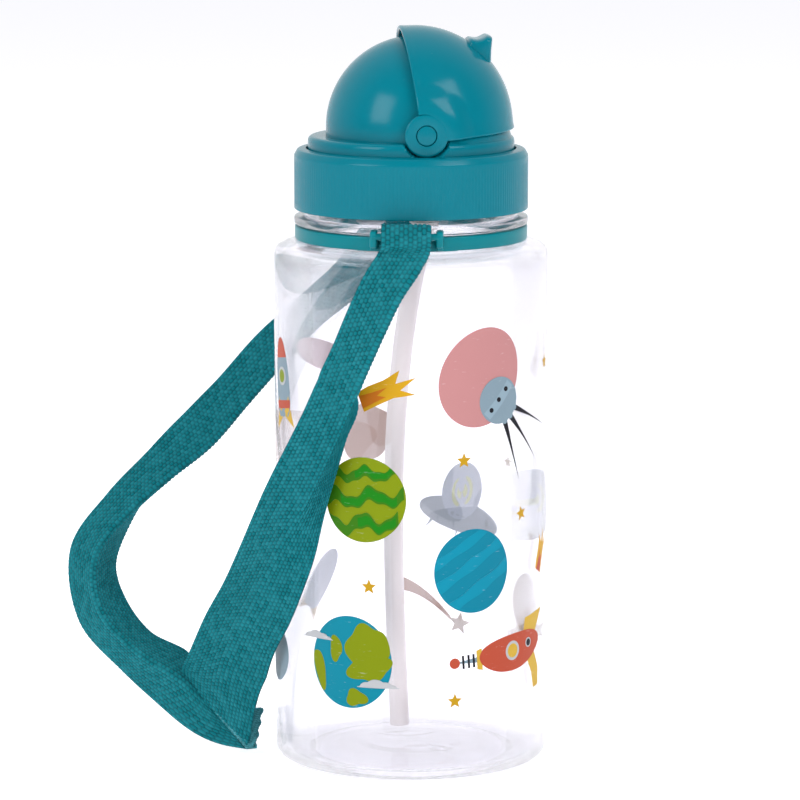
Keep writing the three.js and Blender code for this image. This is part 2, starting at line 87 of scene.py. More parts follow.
def rounded(corners, radius, steps=5, reach=2.5):
    """A polyline whose inner corners become arcs, and whose long sides get extra points.

    Each corner is replaced by a quadratic curve from a point before it to a point after it,
    with the corner as its control point. A corner may be (x, y, its own radius).
    """
    corners = [tuple(c) + (radius,) if len(c) == 2 else tuple(c) for c in corners]
    points = [np.array(corners[0][:2], float)]
    for (x0, y0, _), (x1, y1, r), (x2, y2, _) in zip(corners, corners[1:], corners[2:]):
        before, corner, after = np.array([x0, y0]), np.array([x1, y1]), np.array([x2, y2])
        into, out = before - corner, after - corner
        length_in, length_out = np.hypot(*into), np.hypot(*out)
        cosine = np.clip(into @ out / (length_in * length_out), -0.999, 0.999)
        reach_back = min(r / math.tan(math.acos(cosine) / 2), 0.45 * length_in, 0.45 * length_out)
        t = np.linspace(0, 1, steps)[:, None]
        start, end = corner + into / length_in * reach_back, corner + out / length_out * reach_back
        points.extend((1 - t) ** 2 * start + 2 * t * (1 - t) * corner + t**2 * end)
    points.append(np.array(corners[-1][:2], float))
    points = np.array(points)
    gaps = np.hypot(*np.diff(points, axis=0).T)
    pieces = [points[:1]]
    for a, b, gap in zip(points, points[1:], gaps):
        if gap > 1e-6:
            count = max(1, int(math.ceil(gap / reach)))
            pieces.append(a + (b - a) * np.linspace(0, 1, count + 1)[1:, None])
    return np.concatenate(pieces)


def closed_outline(corners, radius, steps=5, reach=2.5):
    """A rounded outline that closes on itself, with its first point left off the end.

    It starts halfway along its last side, so that every corner is an inner one.
    """
    middle = tuple((np.array(corners[0][:2]) + np.array(corners[-1][:2])) / 2)
    return rounded([middle, *corners, middle], radius, steps, reach)[:-1]


def through(points, count=None, step=None):
    """A smooth curve through the points: between two of them a cubic whose slope at each
    point is that of the line joining its neighbours. Points may have any number of columns.
    """
    points = np.asarray(points, float)
    knots = np.r_[0, np.cumsum(np.linalg.norm(np.diff(points[:, :3], axis=0), axis=1))]
    slopes = np.gradient(points, knots, axis=0)
    if count is None:
        count = int(round(knots[-1] / step)) + 1
    at = np.linspace(0, knots[-1], count)
    i = np.clip(np.searchsorted(knots, at, side="right") - 1, 0, len(knots) - 2)
    width = (knots[i + 1] - knots[i])[:, None]
    t = ((at - knots[i]) / width[:, 0])[:, None]
    return (
        (2 * t**3 - 3 * t**2 + 1) * points[i]
        + (t**3 - 2 * t**2 + t) * width * slopes[i]
        + (3 * t**2 - 2 * t**3) * points[i + 1]
        + (t**3 - t**2) * width * slopes[i + 1]
    )


def unit(vectors):
    """Vectors of length one."""
    return vectors / np.maximum(np.linalg.norm(vectors, axis=-1, keepdims=True), 1e-12)


class Shell:
    """A closed surface from a grid of points (rows, columns, 3), with its faces pointing out.

    wrap_rows and wrap_columns join the last line to the first. mirror_caps closes the first
    and last row of a grid whose columns go out along one side and come back along the other.
    """

    def __init__(self, grid, wrap_rows=False, wrap_columns=False, mirror_caps=False, **extra):
        rows, columns = grid.shape[:2]
        index = np.arange(rows * columns).reshape(rows, columns)
        if wrap_rows:
            index = np.vstack([index, index[:1]])
        if wrap_columns:
            index = np.hstack([index, index[:, :1]])
        a, b = index[:-1, :-1], index[:-1, 1:]
        c, d = index[1:, 1:], index[1:, :-1]
        faces = np.stack([a, b, c, d], -1).reshape(-1, 4)
        if mirror_caps:
            half = columns // 2
            near = np.arange(half - 1)
            far = columns - 1 - near
            first = np.stack([near, far, far - 1, near + 1], -1)
            last = first[:, ::-1] + (rows - 1) * columns
            faces = np.vstack([faces, first, last])
        self.points = grid.reshape(-1, 3)
        self.faces = faces
        self.uv = extra.get("uv", np.zeros((rows, columns, 2))).reshape(-1, 2)
        ink = np.broadcast_to(extra.get("ink", (1.0, 1.0, 1.0)), (rows, columns, 3))
        self.ink = ink.reshape(-1, 3)
        self._face_out()

    def _face_out(self):
        """Turns the faces round if the volume they enclose comes out negative."""
        a, b, c, d = (self.points[self.faces[:, k]] for k in range(4))
        volume = np.sum(a * np.cross(b, c)) + np.sum(a * np.cross(c, d))
        if volume < 0:
            self.faces = self.faces[:, ::-1]


def merged(shell, tolerance=1e-4):
    """A shell's points and faces with points that coincide made one.

    A quad with a repeated corner becomes a triangle, so a pole is closed.
    """
    keys = np.round(shell.points / tolerance).astype(np.int64)
    _, first, index = np.unique(keys, axis=0, return_index=True, return_inverse=True)
    corners = index.reshape(-1)[shell.faces]
    keep = corners != np.roll(corners, 1, axis=1)
    good = keep.sum(axis=1) >= 3
    return shell.points[first], shell.ink[first], corners[good], keep[good], shell.faces[good]


def make_piece(name, shells, material, body, replaces=(), sharp=40):
    """A mesh object from shells, riding on a body of the frame; the frame's solids it takes the place of are
    hidden.
    """
    shells = shells if isinstance(shells, (list, tuple)) else [shells]
    points, inks, loops, starts, uvs = [], [], [], [], []
    base, loop_base = 0, 0
    for shell in shells:
        co, ink, corners, keep, original = merged(shell)
        totals = keep.sum(axis=1)
        loops.append(corners[keep] + base)
        uvs.append(shell.uv[original[keep]])
        starts.append(loop_base + np.r_[0, np.cumsum(totals)[:-1]])
        points.append(co)
        inks.append(ink)
        base += len(co)
        loop_base += int(totals.sum())
    points, loops, starts = map(np.concatenate, (points, loops, starts))
    mesh = bpy.data.meshes.new(name)
    mesh.vertices.add(len(points))
    mesh.vertices.foreach_set("co", (points * MM).astype(np.float32).ravel())
    mesh.loops.add(len(loops))
    mesh.loops.foreach_set("vertex_index", loops.astype(np.int32))
    mesh.polygons.add(len(starts))
    mesh.polygons.foreach_set("loop_start", starts.astype(np.int32))
    mesh.update(calc_edges=True)
    mesh.validate()
    mesh.shade_smooth()
    mesh.set_sharp_from_angle(angle=math.radians(sharp))
    layer = mesh.uv_layers.new(name="along")
    layer.data.foreach_set("uv", np.concatenate(uvs).astype(np.float32).ravel())
    colour = mesh.color_attributes.new("ink", "FLOAT_COLOR", "POINT")
    rgba = np.hstack([np.concatenate(inks), np.ones((len(points), 1))])
    colour.data.foreach_set("color", rgba.astype(np.float32).ravel())
    piece = bpy.data.objects.new(name, mesh)
    bpy.context.scene.collection.objects.link(piece)
    mesh.materials.append(material)
    if body:
        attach(piece, body)
    if replaces:
        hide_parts(*replaces)
    return piece


def turned(profile, sides=160, centre=(0.0, 0.0), closed=True):
    """Each profile point (radius, height) goes round the vertical line through centre."""
    angle = np.linspace(0, 2 * np.pi, sides, endpoint=False)
    r, z = np.asarray(profile).T
    x = centre[0] + r[:, None] * np.cos(angle)
    y = centre[1] + r[:, None] * np.sin(angle)
    grid = np.stack([x, y, np.broadcast_to(z[:, None], x.shape)], -1)
    return Shell(grid, wrap_rows=closed, wrap_columns=True)


def turned_about(profile, origin, axis, sides=72, closed=True):
    """Each profile point (radius, distance along the axis) goes round that axis."""
    axis = unit(np.array(axis, float))
    helper = np.array([0.0, 0, 1]) if abs(axis[2]) < 0.9 else np.array([1.0, 0, 0])
    across = unit(np.cross(helper, axis))
    up = np.cross(axis, across)
    angle = np.linspace(0, 2 * np.pi, sides, endpoint=False)[None, :, None]
    r, along = np.asarray(profile)[:, :1, None], np.asarray(profile)[:, 1:, None]
    ring = r * (np.cos(angle) * across + np.sin(angle) * up)
    return Shell(np.array(origin) + ring + along * axis, wrap_rows=closed, wrap_columns=True)


def swept(section, path, across):
    """A section (columns, 2) carried along a path: its x goes across, its y to the side.

    across is one direction for the path or one for each of its points.
    """
    tangent = unit(np.gradient(path, axis=0))
    across = np.broadcast_to(np.asarray(across, float), path.shape)
    side = unit(across - np.sum(across * tangent, 1, keepdims=True) * tangent)
    out = np.cross(tangent, side)
    return path[:, None] + section[None, :, :1] * side[:, None] + section[None, :, 1:] * out[:, None]


def rounded_block(low, high, radius, count=7):
    """A box with rounded edges: six face grids, each point moved to the inner box's nearest
    point plus the radius along the direction from it."""
    low, high = np.array(low, float), np.array(high, float)
    centre, half = (low + high) / 2, (high - low) / 2
    radius = min(radius, *(half * 0.98))
    inner = half - radius
    t = np.linspace(-1, 1, 2 * count)
    t = np.sign(t) * (1 - (1 - np.abs(t)) ** 1.6)
    grids = []
    for axis in range(3):
        for sign in (-1, 1):
            u, v = np.meshgrid(t, t, indexing="ij")
            cube = np.empty(u.shape + (3,))
            cube[..., axis] = sign
            cube[..., (axis + 1) % 3], cube[..., (axis + 2) % 3] = u * sign, v
            at = cube * half
            near = np.clip(at, -inner, inner)
            grids.append(near + radius * unit(at - near + 1e-9) + centre)
    return join_grids(grids)


def join_grids(grids):
    """One shell from several open grids whose edges meet."""
    shells = []
    for grid in grids:
        shell = Shell.__new__(Shell)
        rows, columns = grid.shape[:2]
        index = np.arange(rows * columns).reshape(rows, columns)
        a, b, c, d = index[:-1, :-1], index[:-1, 1:], index[1:, 1:], index[1:, :-1]
        shell.points, shell.faces = grid.reshape(-1, 3), np.stack([a, b, c, d], -1).reshape(-1, 4)
        shells.append(shell)
    whole = Shell.__new__(Shell)
    offsets = np.cumsum([0] + [len(s.points) for s in shells[:-1]])
    whole.points = np.concatenate([s.points for s in shells])
    whole.faces = np.concatenate([s.faces + o for s, o in zip(shells, offsets)])
    whole.uv = np.zeros((len(whole.points), 2))
    whole.ink = np.ones((len(whole.points), 3))
    whole._face_out()
    return whole


def turned_round(shell, turn):
    """A shell turned about the vertical through the origin."""
    c, s = math.cos(turn), math.sin(turn)
    shell.points = shell.points @ np.array([[c, s, 0], [-s, c, 0], [0, 0, 1]])
    return shell


# ---- Materials ----


class Wire:
    """One value in a material. Arithmetic on it adds Math nodes."""

    def __init__(self, paint, socket):
        self.paint, self.socket = paint, socket

    def math(self, operation, *values, **settings):
        return self.paint.node("Math", {"operation": operation, **settings}, values)

    def __add__(self, other):
        return self.math("ADD", self, other)

    __radd__ = __add__

    def __sub__(self, other):
        return self.math("SUBTRACT", self, other)

    def __rsub__(self, other):
        return self.math("SUBTRACT", other, self)

    def __mul__(self, other):
        return self.math("MULTIPLY", self, other)

    __rmul__ = __mul__

    def __truediv__(self, other):
        return self.math("DIVIDE", self, other)

    def __pow__(self, other):
        return self.math("POWER", self, other)

    def sine(self):
        return self.math("SINE", self)

    def fraction(self):
        return self.math("FRACT", self)

    def floor(self):
        return self.math("FLOOR", self)

    def between(self, low, high):
        """0 below low, 1 above high and smooth between them."""
        settings = {"interpolation_type": "SMOOTHSTEP"}
        return self.paint.node("MapRange", settings, {"Value": self, "From Min": low, "From Max": high})


class Paint:
    """A material under construction, with one method that adds any node."""

    def __init__(self, name):
        self.material = bpy.data.materials.new(name)
        self.material.use_nodes = True
        self.tree = self.material.node_tree
        self.tree.nodes.clear()

    def node(self, kind, settings=None, inputs=None, output=0):
        """Adds a node, sets its settings, then fills its sockets with values or links."""
        made = self.tree.nodes.new("ShaderNode" + kind)
        for key, value in (settings or {}).items():
            if key == "stops":
                for stop, (place, colour) in zip(self._stops(made, len(value)), value):
                    stop.position, stop.color = place, (*colour, 1)
            else:
                setattr(made, key, value)
        pairs = inputs.items() if isinstance(inputs, dict) else enumerate(inputs or ())
        for key, value in pairs:
            if isinstance(value, Wire):
                self.tree.links.new(value.socket, made.inputs[key])
            elif value is not None:
                made.inputs[key].default_value = value
        return Wire(self, made.outputs[output])

    @staticmethod
    def _stops(made, count):
        stops = made.color_ramp.elements
        while len(stops) < count:
            stops.new(0.5)
        return list(stops)

    def place(self, name="Object"):
        """Where the shaded point is: Object coordinates or the piece's own UV map."""
        return self.node("TexCoord", output=name)

    def along(self):
        """The piece's own UV map as two values, in millimetres."""
        split = self.node("SeparateXYZ", {}, [self.node("UVMap", {"uv_map": "along"})])
        node = split.socket.node
        return Wire(self, node.outputs[0]), Wire(self, node.outputs[1])

    def noise(self, scale, detail=2.0, roughness=0.5, at=None, distortion=0.0):
        values = {
            "Vector": at or self.place(),
            "Scale": scale,
            "Detail": detail,
            "Roughness": roughness,
            "Distortion": distortion,
        }
        return self.node("TexNoise", {}, values, "Fac")

    def stretched(self, scale, turn=(0.0, 0.0, 0.0)):
        """Object coordinates scaled by a different amount each way."""
        return self.node("Mapping", {}, {"Vector": self.place(), "Rotation": turn, "Scale": scale})

    def mix(self, mask, first, second, blend="MIX"):
        """Colour first where the mask is 0 and second where it is 1."""
        settings = {"data_type": "RGBA", "blend_type": blend}
        made = self.node("Mix", settings, {0: mask}, 2)
        for key, value in ((6, first), (7, second)):
            socket = made.socket.node.inputs[key]
            if isinstance(value, Wire):
                self.tree.links.new(value.socket, socket)
            else:
                socket.default_value = (*value, 1)
        return made

    def bump(self, height, distance, strength=1.0, under=None):
        """A Bump node that lifts the surface by the height times the distance in metres."""
        values = {"Height": height, "Distance": distance, "Strength": strength, "Normal": under}
        return self.node("Bump", {}, values)

    def surface(self, **values):
        """The Principled surface, with values or links by socket name, as the finished look."""
        named = {key.replace("_", " "): value for key, value in values.items()}
        colour = named.get("Base Color")
        if colour is not None and not isinstance(colour, Wire):
            named["Base Color"] = (*colour, 1)
        return self.finish(self.node("BsdfPrincipled", {}, named))

    def finish(self, shade):
        """Ends the material with this surface."""
        out = self.tree.nodes.new("ShaderNodeOutputMaterial")
        self.tree.links.new(shade.socket, out.inputs["Surface"])
        return self.material


def glossy_teal(name, colour, roughness=0.16):
    """Moulded glossy plastic: faint colour drift, hairline scratches and a dimpled skin."""
    paint = Paint(name)
    cloud = paint.noise(45, 3)
    scratch = paint.noise(1.0, 4, 0.65, at=paint.stretched((900, 900, 70), (0.4, 0.7, 0.2)))
    lines = scratch.between(0.68, 0.74)
    base = paint.mix(cloud * 0.3, colour, tuple(c * 0.85 for c in colour))
    rough = roughness + 0.07 * cloud + 0.25 * lines
    skin = paint.noise(700, 2)
    normal = paint.bump(skin + 0.5 * lines, 0.00002, 0.35)
    return paint.surface(
        Base_Color=base, Roughness=rough, Normal=normal, IOR=1.47, Specular_IOR_Level=0.16,
    )  # fmt: skip


def clear_plastic(name):
    """Clear bottle plastic: see-through face on, with a lilac-grey gleam where it turns away
    and a few fine handling marks."""
    paint = Paint(name)
    marks = paint.noise(1.0, 3, 0.6, at=paint.stretched((500, 500, 60), (0.3, 0.2, 0.5)))
    rough = 0.015 + 0.03 * marks.between(0.64, 0.72)
    normal = paint.bump(paint.noise(120, 1), 0.00002, 0.2)
    values = {
        "Base Color": (0.86, 0.85, 0.92, 1), "Roughness": rough, "Normal": normal,
        "Transmission Weight": 1.0, "IOR": 1.33,
    }  # fmt: skip
    glass = paint.node("BsdfPrincipled", {}, values)
    clear = paint.node("BsdfTransparent", {}, {"Color": (0.985, 0.982, 0.99, 1)})
    facing = paint.node("LayerWeight", {}, {"Blend": 0.5}, "Facing")
    share = 0.1 + 0.88 * facing**1.7
    return paint.finish(paint.node("MixShader", {}, [share, clear, glass]))


def soft_clear(name, colour, transmission=0.55, roughness=0.35):
    """Milky silicone or straw plastic: light comes through it, but not a picture."""
    paint = Paint(name)
    cloud = paint.noise(160, 3)
    base = paint.mix(cloud * 0.4, colour, tuple(c * 0.9 for c in colour))
    normal = paint.bump(paint.noise(900, 2), 0.00002, 0.4)
    return paint.surface(
        Base_Color=base, Roughness=roughness + 0.12 * cloud, Normal=normal,
        Transmission_Weight=transmission, IOR=1.41, Alpha=0.86 if transmission == 0 else 1.0,
    )  # fmt: skip


def webbing_cloth(name, colour):
    """Woven webbing: each plump bundle has its own tone, with fine threads along it, painted shade in the
    dips between bundles and painted highlight on patches of their crowns.
    """
    paint = Paint(name)
    u, v = paint.along()
    column = u.floor()
    shift = (column * 0.5).fraction()
    row = (v + shift).floor()
    across = (u.fraction() - 0.5) * 2
    length = ((v + shift).fraction() - 0.5) * 2
    crown = (1 - across * across) * (1 - length * length)
    cell = paint.node("CombineXYZ", {}, [column, row])
    shade = paint.node("TexWhiteNoise", {"noise_dimensions": "2D"}, {"Vector": cell}, "Value")
    threads = (u * 44.0).sine() * 0.5 + 0.5
    fuzz = paint.noise(2600, 3)
    # noise patches in which the bundles' crowns get a painted highlight
    wear_and_crown_highlight = paint.noise(120, 3).between(0.5, 0.8)
    # light is both a random paler tone per bundle and the painted highlight colour; dark is the painted shade
    # colour for the dips between bundles
    light = tuple(min(1.0, c * 1.75 + 0.03) for c in colour)
    dark = tuple(c * 0.42 for c in colour)
    # painted shade: the colour darkens towards dark in the dips between bundles, where the crown falls away
    tone = paint.mix(crown.between(0.05, 0.8), dark, colour)
    tone = paint.mix(shade * 0.35, tone, light)
    # painted highlight: the crowns are lightened towards light inside those patches
    tone = paint.mix(crown * wear_and_crown_highlight * 0.35, tone, light)
    tone = paint.mix(threads * 0.25, tone, tuple(c * 0.6 for c in colour))
    normal = paint.bump(crown * 0.7 + threads * 0.12 + fuzz * 0.2, 0.0003, 0.6)
    return paint.surface(
        Base_Color=tone, Roughness=0.72 + 0.2 * fuzz, Normal=normal,
        Sheen_Weight=0.02, Sheen_Roughness=0.5, Specular_IOR_Level=0.1,
    )  # fmt: skip


def thread_cloth(name, colour):
    """Sewing thread or a cut webbing end: twisted fibres with loose ends."""
    paint = Paint(name)
    fuzz = paint.noise(1800, 4)
    streak = paint.noise(1.0, 3, 0.6, at=paint.stretched((400, 400, 2600)))
    tone = paint.mix(streak.between(0.3, 0.7) * 0.7, colour, tuple(c * 0.55 for c in colour))
    normal = paint.bump(fuzz + streak, 0.0002, 0.7)
    return paint.surface(Base_Color=tone, Roughness=0.85 + 0.1 * fuzz, Normal=normal)


def print_ink(name):
    """Printed ink, its colour carried by the piece, rubbed thin in fine scratches."""
    paint = Paint(name)
    ink = paint.node("Attribute", {"attribute_name": "ink"}, output="Color")
    scratch = paint.noise(1.0, 4, 0.7, at=paint.stretched((300, 300, 1500), (0.5, 0.9, 0.3)))
    lines = scratch.between(0.63, 0.72)
    grain = paint.noise(900, 3)
    wear_and_crown_highlight = paint.mix(lines * 0.14, ink, (0.85, 0.85, 0.85))
    normal = paint.bump(grain, 0.00002, 0.3)
    return paint.surface(
        Base_Color=wear_and_crown_highlight, Roughness=0.38 + 0.15 * grain, Normal=normal, Specular_IOR_Level=0.12
    )


# ---- The strap ----

# Each station is a point on the fold, then one on each woven edge. Where the band is shut
# the two edges lie together, and the fold is all that is seen of its far half.
FRONT_STATIONS = [
    ((-1.5, -41.0, 131.8), (-9.0, -35.2, 135.6), None),
    ((-6.5, -41.2, 124.2), (-14.0, -33.8, 128.4), None),
    ((-10.3, -40.4, 116.2), (-18.2, -32.4, 119.8), None),
    ((-14.0, -39.0, 107.6), (-22.2, -30.2, 110.9), None),
    ((-17.9, -37.4, 99.0), (-26.4, -28.6, 102.1), (-17.0, -34.8, 97.8)),
    ((-21.4, -35.2, 90.2), (-30.1, -26.6, 93.3), (-19.6, -32.8, 88.4)),
    ((-25.1, -32.4, 81.3), (-34.1, -24.2, 84.8), (-22.0, -30.6, 78.6)),
    ((-28.9, -29.0, 72.4), (-37.9, -21.0, 76.6), (-24.4, -28.2, 68.6)),
    ((-33.5, -25.2, 63.8), (-41.3, -15.8, 67.0), (-26.6, -25.8, 57.8)),
    ((-37.5, -20.4, 54.5), (-44.9, -10.3, 56.9), (-29.4, -22.5, 48.4)),
    ((-41.3, -15.0, 45.0), (-48.4, -4.9, 47.1), (-32.7, -17.6, 38.4)),
    ((-45.2, -9.2, 35.5), (-52.9, 0.6, 37.5), (-36.4, -10.6, 28.6)),
    ((-48.6, -3.2, 25.6), (-57.5, 6.3, 26.2), (-39.0, -3.6, 16.6)),
    ((-50.3, 5.0, 10.8), (-58.4, 9.4, 19.6), (-42.2, 1.0, 2.0)),
]
REAR_STATIONS = [
    ((-3.0, 40.5, 121.5), (-9.5, 45.0, 130.6), None),
    ((-9.2, 38.6, 115.9), (-13.6, 46.8, 123.4), None),
    ((-20.3, 38.1, 107.3), (-25.1, 47.4, 111.8), None),
    ((-30.0, 39.1, 96.8), (-35.8, 47.4, 102.4), None),
    ((-39.5, 39.1, 86.1), (-46.5, 47.4, 90.7), None),
    ((-48.9, 37.9, 75.4), (-55.8, 45.0, 82.1), None),
    ((-60.4, 35.2, 67.2), (-65.2, 44.8, 72.3), (-61.8, 47.0, 68.9)),
    ((-71.6, 31.2, 58.5), (-76.3, 41.8, 61.7), (-70.3, 43.5, 55.8)),
    ((-80.6, 25.2, 48.2), (-86.7, 36.3, 48.5), (-75.0, 36.0, 44.2)),
    ((-79.8, 18.7, 35.5), (-85.2, 30.0, 30.5), (-72.9, 28.3, 36.4)),
    ((-70.6, 12.2, 25.8), (-74.2, 22.9, 18.0), (-66.6, 22.7, 28.4)),
    ((-58.4, 7.0, 18.4), (-60.6, 12.4, 9.0), (-56.6, 16.7, 23.4)),
    ((-50.3, 6.2, 10.4), (-42.6, 2.2, 1.4), (-58.8, 10.4, 19.4)),
]
HALF_BAND = 12.4
LAYER = 1.0  # thickness of one layer of webbing
FOLD = 0.035  # how much of each half the rounded fold takes
BUMPS_ACROSS = 22
BUMP_LENGTH = 1.25
ROW_STEP = BUMP_LENGTH / 4
INSIDE_STEP = 6  # steps of a band's outside for each step of its inside


def lug_stations(turn, sign):
    """Stations from a band's sewn end, up inside the lug's bar, over it and down outside.

    sign says on which side, seen from outside, the fold lies.
    """
    out = np.array([math.sin(turn), -math.cos(turn), 0])
    side = np.array([math.cos(turn), math.sin(turn), 0]) * sign
    loop = [(BAR_REACH - 2.1 * math.cos(a), BAR_Z + 2.1 * math.sin(a)) for a in np.linspace(0, np.pi, 6)]
    stations = []
    for reach, z in [(32.0, 135.5), *loop, (37.0, 136.6)]:
        centre = out * reach + np.array([0, 0, z])
        stations.append((centre + side * HALF_BAND / 2, centre - side * HALF_BAND / 2, None))
    return stations


def strap_rails(stations):
    """The fold and the two edges as smooth curves, side by side in nine columns."""
    table = [np.r_[k, a, a if b is None else b] for k, a, b in stations]
    rails = through(table, step=ROW_STEP)
    shut = np.linalg.norm(rails[:, 3:6] - rails[:, 6:9], axis=1, keepdims=True) < 0.05
    rails[:, 6:9] = np.where(shut, rails[:, 3:6], rails[:, 6:9])
    return rails


def strap_shell(rails, start):
    """One length of folded webbing.

    Across the band w goes from -1 at one edge through 0 at the fold to 1 at the other.
    The first half is always half the band wide, and the second as wide as its stations say.
    A point is the fold plus (sqrt(w^2 + e^2) - w) / 2 of the first half's width and
    (sqrt(w^2 + e^2) + w) / 2 of the second's. Where the halves lie together they are kept a
    layer apart. Outside, each woven bundle rises by the sines of its place across and along.
    """
    fold, first, second = rails[:, :3], rails[:, 3:6], rails[:, 6:9]
    half_a, half_b = unit(first - fold) * HALF_BAND, second - fold
    half_b *= np.minimum(1, HALF_BAND / np.linalg.norm(half_b, axis=1, keepdims=True))
    tangent = unit(np.gradient(fold, axis=0))
    shut = np.clip((np.sum(unit(half_a) * unit(half_b), 1) - 0.55) / 0.45, 0, 1)[:, None, None]
    apart = unit(np.cross(half_a, tangent))[:, None]

    def middle(w):
        root = np.sqrt(w**2 + FOLD**2)
        near, far = (root - w) / 2, (root + w) / 2
        spread = np.tanh(w / 0.05) * (LAYER * 0.56)
        flat = fold[:, None] + near[None, :, None] * half_a[:, None]
        flat = flat + far[None, :, None] * half_b[:, None]
        return flat - apart * spread[None, :, None] * shut

    along = np.r_[0, np.cumsum(np.linalg.norm(np.diff(fold, axis=0), axis=1))] + start
    w = np.linspace(-1, 1, BUMPS_ACROSS * 3 + 1)
    sheet = middle(w)
    normal = unit(np.cross(np.gradient(sheet, axis=0), np.gradient(sheet, axis=1)))
    column = np.minimum(np.floor((w + 1) / 2 * BUMPS_ACROSS + 1e-6), BUMPS_ACROSS - 1)
    place = (w + 1) / 2 * BUMPS_ACROSS - column
    lift_across = np.abs(np.sin(np.pi * place))
    phase = along[:, None] / BUMP_LENGTH + 0.5 * (column % 2)[None]
    lift = (lift_across[None] * np.abs(np.sin(np.pi * phase))) ** 0.7
    outside = sheet + normal * (LAYER / 2 - 0.1 + 0.3 * lift)[..., None]
    coarse = w[::INSIDE_STEP]
    lining = middle(coarse)
    back = unit(np.cross(np.gradient(lining, axis=0), np.gradient(lining, axis=1)))
    inside = (lining - back * LAYER / 2)[:, ::-1]
    u = (np.r_[w, coarse[::-1]] + 1)[None] / 2 * BUMPS_ACROSS
    uv = np.stack(np.broadcast_arrays(u, along[:, None] / BUMP_LENGTH), -1)
    grid = np.concatenate([outside, inside], axis=1)
    shell = Shell(grid, wrap_columns=True, uv=uv)
    return close_band_ends(shell, grid.shape[0], len(w), len(coarse)), along[-1]


def close_band_ends(shell, rows, outer, inner):
    """Adds faces over both ends of a band: for each step of the inside, a fan of triangles to
    the outside's points and a quad at its end."""
    columns = outer + inner
    quads = []
    for k in range(inner - 1):
        o, i = INSIDE_STEP * k, columns - 1 - k
        quads += [(i, o + j, o + j + 1, o + j + 1) for j in range(INSIDE_STEP - 1)]
        quads.append((i, o + INSIDE_STEP - 1, o + INSIDE_STEP, i - 1))
    first = np.array(quads)
    last = first[:, ::-1] + (rows - 1) * columns
    caps = np.vstack([first, last])
    if shell.faces[0, 0] < shell.faces[0, 1]:
        caps = caps[:, ::-1]
    shell.faces = np.vstack([shell.faces, caps])
    return shell


def strap_path(front, rear):
    """The middle line of the whole strap, from the front lug through the joint to the rear."""

    def middle(rails):
        return (rails[:, :3] + rails[:, 3:6] + rails[:, 6:9]) / 3

    line = np.concatenate([middle(front), middle(rear)[::-1]])
    gaps = np.r_[0, np.cumsum(np.linalg.norm(np.diff(line, axis=0), axis=1))]
    at = np.linspace(0, gaps[-1], 60)
    return np.stack([np.interp(at, gaps, line[:, k]) for k in range(3)], 1) * MM


class BOTTLE_OT_strap(bpy.types.Operator):
    """Build the folded webbing strap, its sewn joint and the stitches"""

    bl_idname = "bottle.strap"
    bl_label = "Carry strap"

    def execute(self, context):
        colours = context.scene.bottle_colours
        cloth = webbing_cloth("webbing", tuple(colours.webbing))
        front = strap_rails(lug_stations(LUG_TURN, 1) + FRONT_STATIONS)
        rear = strap_rails(lug_stations(LUG_TURN + math.pi, -1) + REAR_STATIONS)
        front_shell, woven = strap_shell(front, 0.0)
        rear_shell, _ = strap_shell(rear, woven)
        strap = make_piece(
            "carry_strap", [front_shell, rear_shell], cloth, "strap_ring",
            ("strap_front", "strap_rear"), sharp=75,
        )  # fmt: skip
        fin, stitches = sewn_joint(tuple(colours.webbing))
        path = strap_path(front, rear)
        return {"FINISHED"}


def sewn_joint(colour):
    """The two webbing ends, sewn face to face and standing out past the joint as a fin."""
    top, low = np.array([-58.6, 9.8, 19.2]), np.array([-42.6, 1.6, 1.5])
    out = unit(np.array([0.97, 0.0, 0.08]))
    shells = []
    for side, depth in ((0.0, 0.0), (1.1, 0.4)):
        t = np.linspace(0, 1, 60)[:, None]
        line = top + (low - top) * (0.5 + 0.5 * t)
        reach = 12.6 - depth - 10.2 * t + 0.3 * np.sin(t * 21 + side * 3)
        away = unit(np.cross(low - top, out)) * side
        cells = np.linspace(0, 1, 13)[None, :, None]
        flat = (line + away)[:, None] + out * cells * reach[:, None]
        bumps = 0.22 * np.abs(np.sin(np.pi * 22 * t))[:, None] * np.abs(np.sin(np.pi * 4 * cells))
        normal = unit(np.cross(low - top, out))
        thick = normal * (0.4 + bumps)
        grid = np.concatenate([flat + thick, (flat - thick)[:, ::-1]], 1)
        u = np.broadcast_to(t * 22, flat.shape[:2])
        v = np.broadcast_to(cells[..., 0] * reach / BUMP_LENGTH, flat.shape[:2])
        uv = np.stack([u, v], -1)
        uv = np.concatenate([uv, uv[:, ::-1]], 1)
        shells.append(Shell(grid, wrap_columns=True, mirror_caps=True, uv=uv))
    ends = webbing_cloth("webbing_ends", tuple(min(1, c * 1.5 + 0.06) for c in colour))
    fin = make_piece("strap_fin", shells, ends, "strap_ring", ("strap_seam",), 75)
    thread = thread_cloth("sewing_thread", tuple(min(1, c * 1.6 + 0.05) for c in colour))
    row = stitch_row(top, low, out)
    return fin, make_piece("strap_stitches", row, thread, "strap_ring")


def stitch_row(top, low, out):
    """A row of short thread loops along the joint, each a thin arched capsule."""
    normal = unit(np.cross(low - top, out))
    step = unit(low - top)
    shells = []
    for middle in np.linspace(0.46, 0.96, 9):
        centre = top + (low - top) * middle + out * 1.3
        for face in (-0.55, 1.65):
            path = centre + step * np.linspace(-0.65, 0.65, 9)[:, None]
            arch = np.sin(np.linspace(0, np.pi, 9))[:, None]
            path = path + normal * (face + np.sign(face) * 0.22 * arch)
            angle = np.linspace(0, 2 * np.pi, 7)[:-1]
            ring = np.stack([np.cos(angle), np.sin(angle)], 1) * 0.2
            tube = swept(ring, path, out)
            taper = np.sqrt(np.maximum(0.02, np.sin(np.linspace(0.02, np.pi - 0.02, 9))))
            tube = path[:, None] + (tube - path[:, None]) * taper[:, None, None]
            tube[0], tube[-1] = path[0], path[-1]
            shells.append(Shell(tube, wrap_columns=True))
    return shells


# ---- The bottle ----


